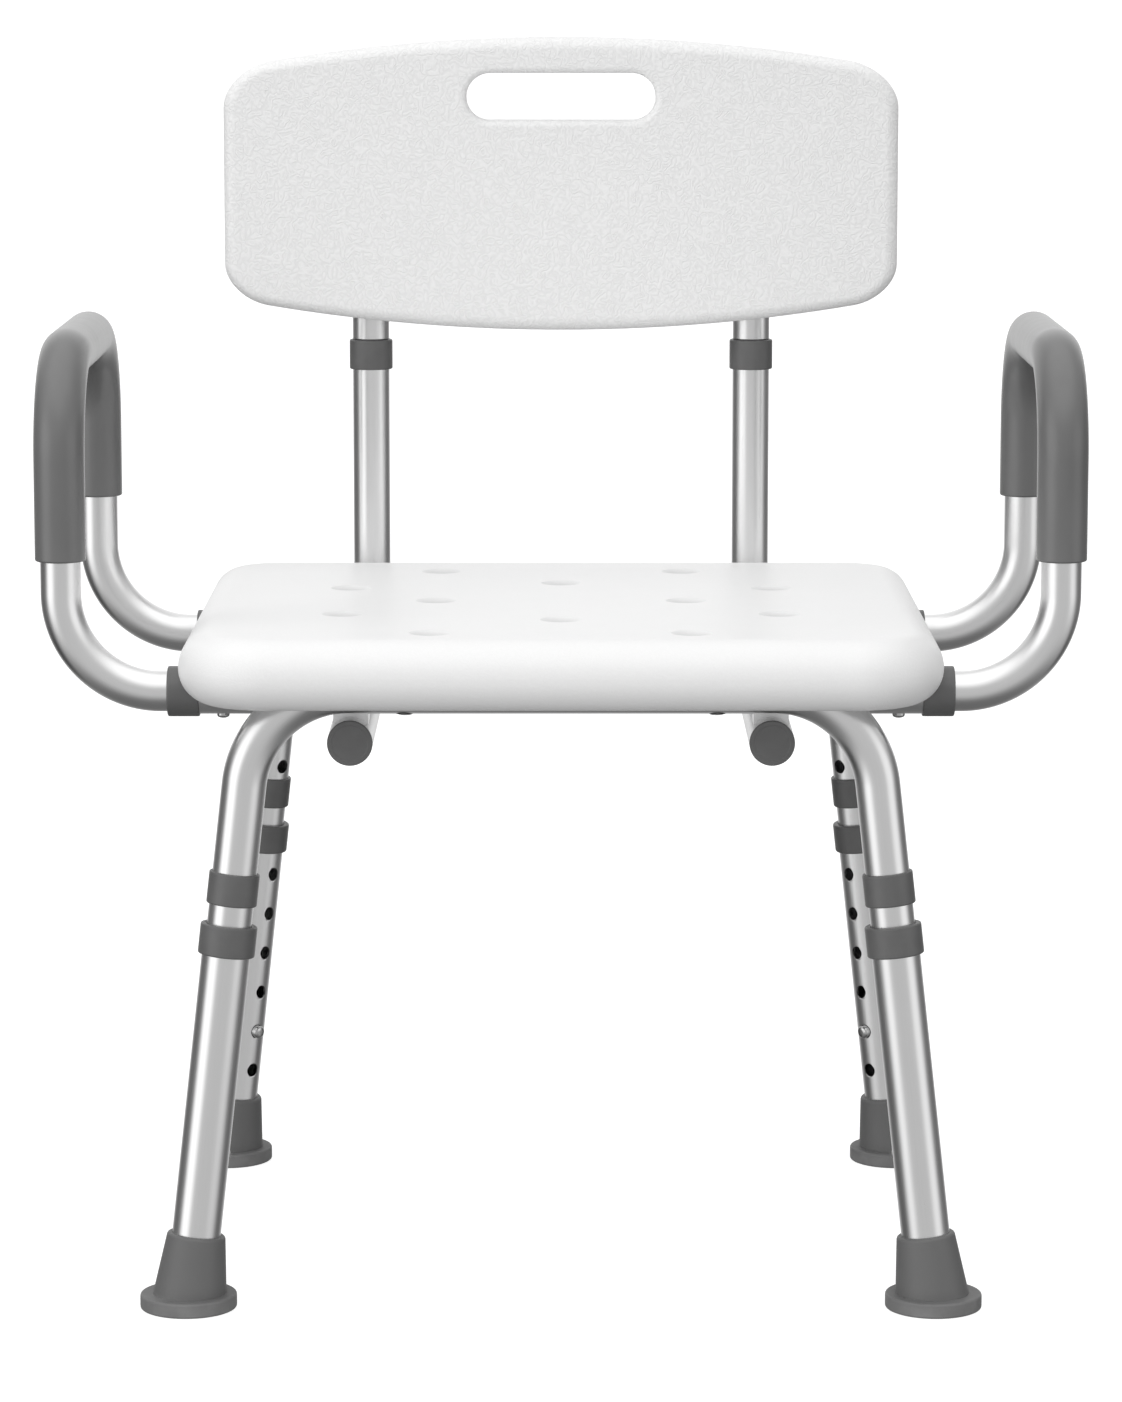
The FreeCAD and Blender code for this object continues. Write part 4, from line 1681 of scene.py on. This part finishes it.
@dataclass(frozen=True)
class Arms:
    """The two arms, their grips and the level sockets that they slide into."""

    radius: float = 0.0127
    wall: float = 0.0015
    socket_radius: float = 0.01425
    bend: float = 0.062
    button_x: float = 0.2124
    collar_x: tuple[float, float] = (0.2270, 0.2471)
    collar_radius: float = 0.0159
    collar_lip: float = 0.0015
    grip_radius: float = 0.016
    grip_ends: tuple[float, float] = (0.469, 0.481)
    grip_gap: float = 0.00002
    grip_rim: float = 0.0014
    bend_steps: int = 32
    button_rest: float = 0.0100
    button_tip: float = 0.01685

    def rows(self) -> tuple[float, float]:
        """The front and rear places of the level tubes."""
        return tuple(sum(c.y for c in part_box(end.name.lower() + "_arm_socket")) / 2 for end in End)

    def height(self) -> float:
        """The height of the level tubes."""
        return sum(c.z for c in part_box("front_arm_socket")) / 2

    def socket(self, end: End) -> Tube:
        """A level socket tube.

        Args:
            end: the chair's front or rear.

        Returns:
            The tube, bored for the buttons of both arms.
        """
        name = end.name.lower() + "_arm_socket"
        low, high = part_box(name)
        y, z = (low.y + high.y) / 2, (low.z + high.z) / 2
        holes = [(Vector((side.value * self.button_x, y, z)), -Z) for side in Side]
        ends = (Vector((low.x, y, z)), Vector((high.x, y, z)))
        return Tube(name + "_tube", ends, self.socket_radius, self.wall, 0, holes)

    def line(self, side: Side) -> list[Vector]:
        """The corners of an arm's line.

        Args:
            side: the arm's side.

        Returns:
            The corners, from its front inner end to its rear one.
        """
        low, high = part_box("arm_tube_" + label(side))
        x = (high.x - self.radius) if side is Side.RIGHT else (low.x + self.radius)
        inner = low.x if side is Side.RIGHT else high.x
        front, rear = self.rows()
        top = high.z - self.radius
        z = self.height()
        return [
            Vector((inner, front, z)), Vector((x, front, z)), Vector((x, front, top)),
            Vector((x, rear, top)), Vector((x, rear, z)), Vector((inner, rear, z)),
        ]

    def build(self, register: Register) -> None:
        """Make the sockets, collars, arms, grips and buttons.

        Args:
            register: where the pieces go.
        """
        front, rear = self.rows()
        z = self.height()
        for end in End:
            register.add(self.socket(end).piece(TUBE), "frame", TUBE, end.name.lower() + "_arm_socket")
        near, far = self.collar_x
        bore = self.radius + SLIDE_GAP
        ring = Ring(self.socket_radius, self.collar_radius, far - near, bore, self.collar_lip)
        spots = [(Vector((s.value * near, y, z)), X * s.value) for s in Side for y in (front, rear)]
        collars = tidy_normals(spotted("arm_mouths", spots, ring.part("ring"), COLLAR))
        register.add(collars, "frame", COLLAR, "arm_socket_collars")
        for side in Side:
            where, body = label(side), "arm_" + label(side)
            corners = self.line(side)
            holes = [(Vector((side.value * self.button_x, y, z)), -Z) for y in (front, rear)]
            arm = Tube(
                f"arm_{where}_tube", corners, self.radius, self.wall, self.bend, holes,
                bend_steps=self.bend_steps,
            )
            register.add(arm.piece(TUBE), body, TUBE, "arm_tube_" + where)
            x = corners[1].x
            ends = [Vector((x, y, z_end)) for y, z_end in zip((front, rear), self.grip_ends)]
            wall = self.grip_radius - self.radius - self.grip_gap
            grip = Tube(
                "grip_" + where, [ends[0], *corners[2:4], ends[1]], self.grip_radius, wall, self.bend,
                rim=self.grip_rim, bend_steps=self.bend_steps,
            )
            register.add(grip.piece(SLEEVE), body, SLEEVE, "arm_grip_" + where)
            clips, inner = "arm_button_clips_" + where, self.radius - self.wall
            snap = SnapFit(body, clips, self.button_rest, self.button_tip, inner)
            for end, y in zip(End, (front, rear)):
                name = label(end, side)
                centre = Vector((side.value * self.button_x, y, z))
                names = ("arm_snap_" + name, "arm_spring_" + name)
                snap.build(register, names, "arm_button_" + name, centre, -Z, X * -side.value)


@dataclass(frozen=True)
class Posts:
    """The L-shaped backrest posts and the front-to-back sockets that they slide into."""

    radius: float = 0.0127
    wall: float = 0.0015
    socket_radius: float = 0.01425
    bend: float = 0.040
    button_y: float = 0.140
    back_button: float = 0.538
    collar: tuple[float, float] = (0.5587, 0.5792)
    collar_radius: float = 0.0149
    collar_bore: float = 0.01145
    collar_lip: float = 0.0015
    plug_head: float = 0.0025
    plug_depth: float = 0.014
    bend_steps: int = 28

    def post_snap(self) -> SnapFit:
        """The button of a post, which holds it in its socket."""
        inner = self.radius - self.wall
        return SnapFit("posts", "post_button_clips", rest=0.0100, tip=0.01685, wall=inner)

    def back_snap(self) -> SnapFit:
        """The button of a back tube, which holds it in its post."""
        back = Backrest()
        inner = back.spigot_radius - back.tube_wall
        return SnapFit("backrest", "back_button_clips", rest=0.0083, tip=0.0150, wall=inner)

    def plug(self) -> Piece:
        """The plug of a back socket, with its dished face at the top.

        Returns:
            The object.
        """
        inner, outer, head = self.socket_radius - self.wall, self.socket_radius, self.plug_head
        profile = [
            (0, -self.plug_depth), (inner - 0.0015, -self.plug_depth), (inner, -0.012), (inner, 0),
            (outer, 0), (outer, head), (outer - 0.0026, head), (outer - 0.0032, head - 0.0004),
            (0, head - 0.0002),
        ]
        return turned("plug", softened(profile, 0.0008), Vector(), Z)

    def build(self, register: Register) -> None:
        """Make the sockets, plugs, posts, collars and buttons.

        Args:
            register: where the pieces go.
        """
        plug_spots = []
        for side in Side:
            where = label(side)
            low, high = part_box("back_socket_" + where)
            x, z = (low.x + high.x) / 2, (low.z + high.z) / 2
            button = (Vector((x, self.button_y, z)), -Z)
            ends = (Vector((x, low.y, z)), Vector((x, high.y, z)))
            socket = Tube(f"back_socket_{where}_tube", ends, self.socket_radius, self.wall, 0, [button])
            register.add(socket.piece(TUBE), "frame", TUBE, "back_socket_" + where)
            plug_spots.append((Vector((x, low.y, z)), -Y))
            near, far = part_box("back_post_" + where)
            y = far.y - self.radius
            corners = [Vector((x, near.y, z)), Vector((x, y, z)), Vector((x, y, far.z))]
            holes = [button, (Vector((x, y, self.back_button)), Y)]
            post = Tube(
                f"post_{where}_tube", corners, self.radius, self.wall, self.bend, holes,
                bend_steps=self.bend_steps,
            )
            register.add(post.piece(TUBE), "posts", TUBE, "back_post_" + where)
            names = ("post_snap_" + where, "post_spring_" + where)
            self.post_snap().build(register, names, "post_button_" + where, button[0], -Z, -Y)
            names = ("back_snap_" + where, "back_spring_" + where)
            self.back_snap().build(register, names, "back_button_" + where, holes[1][0], Y, -Z)
        length = self.collar[1] - self.collar[0]
        ring = Ring(self.radius, self.collar_radius, length, self.collar_bore, self.collar_lip)
        spots = [(Vector((place.x, y, self.collar[0])), Z) for place, _ in plug_spots]
        collars = tidy_normals(spotted("post_mouths", spots, ring.part("ring"), COLLAR))
        register.add(collars, "posts", COLLAR, "post_collars")
        plugs = tidy_normals(spotted("socket_plugs", plug_spots, self.plug(), COLLAR))
        register.add(plugs, "frame", COLLAR, "back_socket_plugs")


@dataclass(frozen=True)
class Fixings:
    """The seat's screws, and the washers and weld blocks that keep their CAD shape."""

    screw_x: float = 0.098
    screws: Screws = Screws(head=0.0008, recess=0.0006)

    def build(self, register: Register) -> None:
        """Make the screws and dress the rest.

        Args:
            register: where the pieces go.
        """
        spots = []
        for end in End:
            low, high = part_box(end.name.lower() + "_arm_socket")
            for y, z in (self.frame_row(end), ((low.y + high.y) / 2, low.z)):
                spots += [(Vector((side.value * self.screw_x, y, z)), -Z) for side in Side]
        screws = self.screws.set("seat_pan_heads", spots)
        register.add(screws, "frame", STEEL, "seat_screws")
        register.dress(STEEL, *("foot_washer_" + label(*leg) for leg in legs()))
        register.dress(TUBE, "socket_saddles")

    @staticmethod
    def frame_row(end: End) -> tuple[float, float]:
        """The place along Y and the underside of a leg frame's top tube."""
        top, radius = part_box(end.name.lower() + "_leg_frame")[1].z, Legs().radius
        return LegLine(end, Side.LEFT).point(top - radius).y, top - 2 * radius


def seat_cutters() -> list[Piece]:
    """Closed bars where the level tubes and collars lie, for the seat's channels.

    Returns:
        The bars, a little thicker than what they stand for.
    """
    arms, gap = Arms(), Seat().channel_gap
    beyond_seat = 0.27
    bars = []
    for end in End:
        tube = Legs().frame_tube(end)
        bars.append(tube.bar("leg_channel", tube.radius + gap))
        socket = arms.socket(end)
        bars.append(socket.bar("arm_channel", socket.radius + gap))
        y, z = socket.corners[0].y, socket.corners[0].z
        for side in Side:
            near = Vector((side.value * (arms.collar_x[0] - gap), y, z))
            mouth = Tube("mouth", (near, Vector((side.value * beyond_seat, y, z))), arms.collar_radius, 0)
            bars.append(mouth.bar("mouth_channel", mouth.radius + gap))
    return bars


# ---- studio -------------------------------------------------------------------------------


@dataclass(frozen=True)
class SoftBox:
    """A soft bright or dark patch of the studio's surroundings, as a direction and a width."""

    azimuth: float
    elevation: float
    spread: float
    level: float

    def direction(self) -> tuple[float, float, float]:
        """The way to the patch from the chair; azimuth 0 is in front of it."""
        a, e = math.radians(self.azimuth), math.radians(self.elevation)
        return (math.sin(a) * math.cos(e), -math.cos(a) * math.cos(e), math.sin(e))


@dataclass(frozen=True)
class Lamp:
    """A soft square lamp aimed at the middle of the chair."""

    name: str
    place: tuple[float, float, float]
    size: float
    power: float
    aim: tuple[float, float, float] = (0.0, 0.0, 0.4)

    def hang(self) -> None:
        """Put the lamp in the scene, out of the camera's sight."""
        data = bpy.data.lights.new(self.name, "AREA")
        data.size = self.size
        data.energy = self.power
        made = bpy.data.objects.new(self.name, data)
        bpy.context.scene.collection.objects.link(made)
        made.location = self.place
        made.rotation_euler = (Vector(self.aim) - Vector(self.place)).to_track_quat("-Z", "Y").to_euler()
        made.visible_camera = False
        made.visible_glossy = False


@dataclass(frozen=True)
class Studio:
    """A plain pale floor, soft light from all round and the camera."""

    base: float = 0.572
    least: float = 0.05
    boxes: Sequence[SoftBox] = (
        SoftBox(-58, 6, 24, 0.85),
        SoftBox(64, 6, 20, 0.46),
        SoftBox(0, 80, 46, 0.74),
        SoftBox(180, 15, 30, 0.45),
        SoftBox(-112, -10, 32, -0.44),
        SoftBox(118, -10, 28, -0.42),
        SoftBox(0, -90, 56, -0.42),
    )
    lamps: Sequence[Lamp] = (
        Lamp("key", (-2.5, -1.0, 1.7), 1.3, 18),
        Lamp("fill", (1.3, -0.9, 2.9), 2.4, 4),
        Lamp("kick", (0.0, -1.0, -0.05), 1.0, 2.2),
    )
    camera_place: tuple[float, float, float] = (0.0, -3.270, 0.857)
    camera_tilt: float = 81.311
    lens: float = 128.85

    def surroundings(self) -> None:
        """Light the world with soft patches around an even grey."""
        world = bpy.data.worlds.new("studio")
        bpy.context.scene.world = world
        world.use_nodes = True
        bench = Bench(world.node_tree)
        way = bench.node("ShaderNodeTexCoord", output="Generated")
        level: Term | float = self.base
        for box in self.boxes:
            toward = bench.node(
                "ShaderNodeVectorMath", {"operation": "DOT_PRODUCT"}, {0: way, 1: box.direction()}, "Value"
            )
            reach = math.cos(math.radians(box.spread * 1.35)), math.cos(math.radians(box.spread * 0.45))
            level = toward.step(*reach) * box.level + level
        glow = {"Color": (1, 1, 1, 1), "Strength": level.most(self.least)}
        sky = bench.node("ShaderNodeBackground", sockets=glow)
        bench.node("ShaderNodeOutputWorld", sockets={"Surface": sky})

    def floor(self) -> None:
        """A pale floor that curves up behind the chair."""
        half, rise, back, bend, drop, steps = 9.0, 7.0, 4.0, 2.0, 0.0002, 16
        line = [(-half, 0.0)]
        for k in range(steps + 1):
            a = math.pi / 2 * k / steps
            line.append((back + bend * math.sin(a), bend * (1 - math.cos(a))))
        line.append((back + bend, rise))
        points = [(x, y, z - drop) for y, z in line for x in (-half, half)]
        faces = [(2 * k, 2 * k + 1, 2 * k + 3, 2 * k + 2) for k in range(len(line) - 1)]
        floor = mesh_object("studio_floor", points, (), faces)
        floor.data.shade_smooth()
        material = bpy.data.materials.new("studio_paper")
        material.use_nodes = True
        bench = Bench(material.node_tree)
        sockets = {
            "Base Color": grey(0.4),
            "Roughness": 0.9,
            "Emission Color": grey(1.0),
            "Emission Strength": 0.85,
            "Specular IOR Level": 0.1,
        }
        shader = bench.node("ShaderNodeBsdfPrincipled", sockets=sockets)
        bench.node("ShaderNodeOutputMaterial", sockets={"Surface": shader})
        floor.data.materials.append(material)
        floor.visible_glossy = False
        floor.visible_diffuse = False

    def camera(self) -> None:
        """The camera, level across and tilted down."""
        data = bpy.data.cameras.new("camera")
        data.lens = self.lens
        data.sensor_width = 36.0
        made = bpy.data.objects.new("camera", data)
        bpy.context.scene.collection.objects.link(made)
        made.location = self.camera_place
        made.rotation_euler = (math.radians(self.camera_tilt), 0, 0)
        bpy.context.scene.camera = made

    def build(self) -> None:
        """Set up the floor, the light and the camera."""
        bpy.context.scene.view_settings.view_transform = "Standard"
        self.surroundings()
        self.floor()
        for lamp in self.lamps:
            lamp.hang()
        self.camera()


# ---- the whole chair ----------------------------------------------------------------------


def main() -> None:
    """Build the chair in order and report each piece."""
    logging.basicConfig(level=logging.INFO, format="%(name)s: %(message)s")
    register = Register()
    Studio().build()
    Seat().build(register, seat_cutters())
    Legs().build(register)
    Arms().build(register)
    Posts().build(register)
    Backrest().build(register)
    Fixings().build(register)
    LOG.info("%d pieces", register.count)


if __name__ == "__main__":
    main()
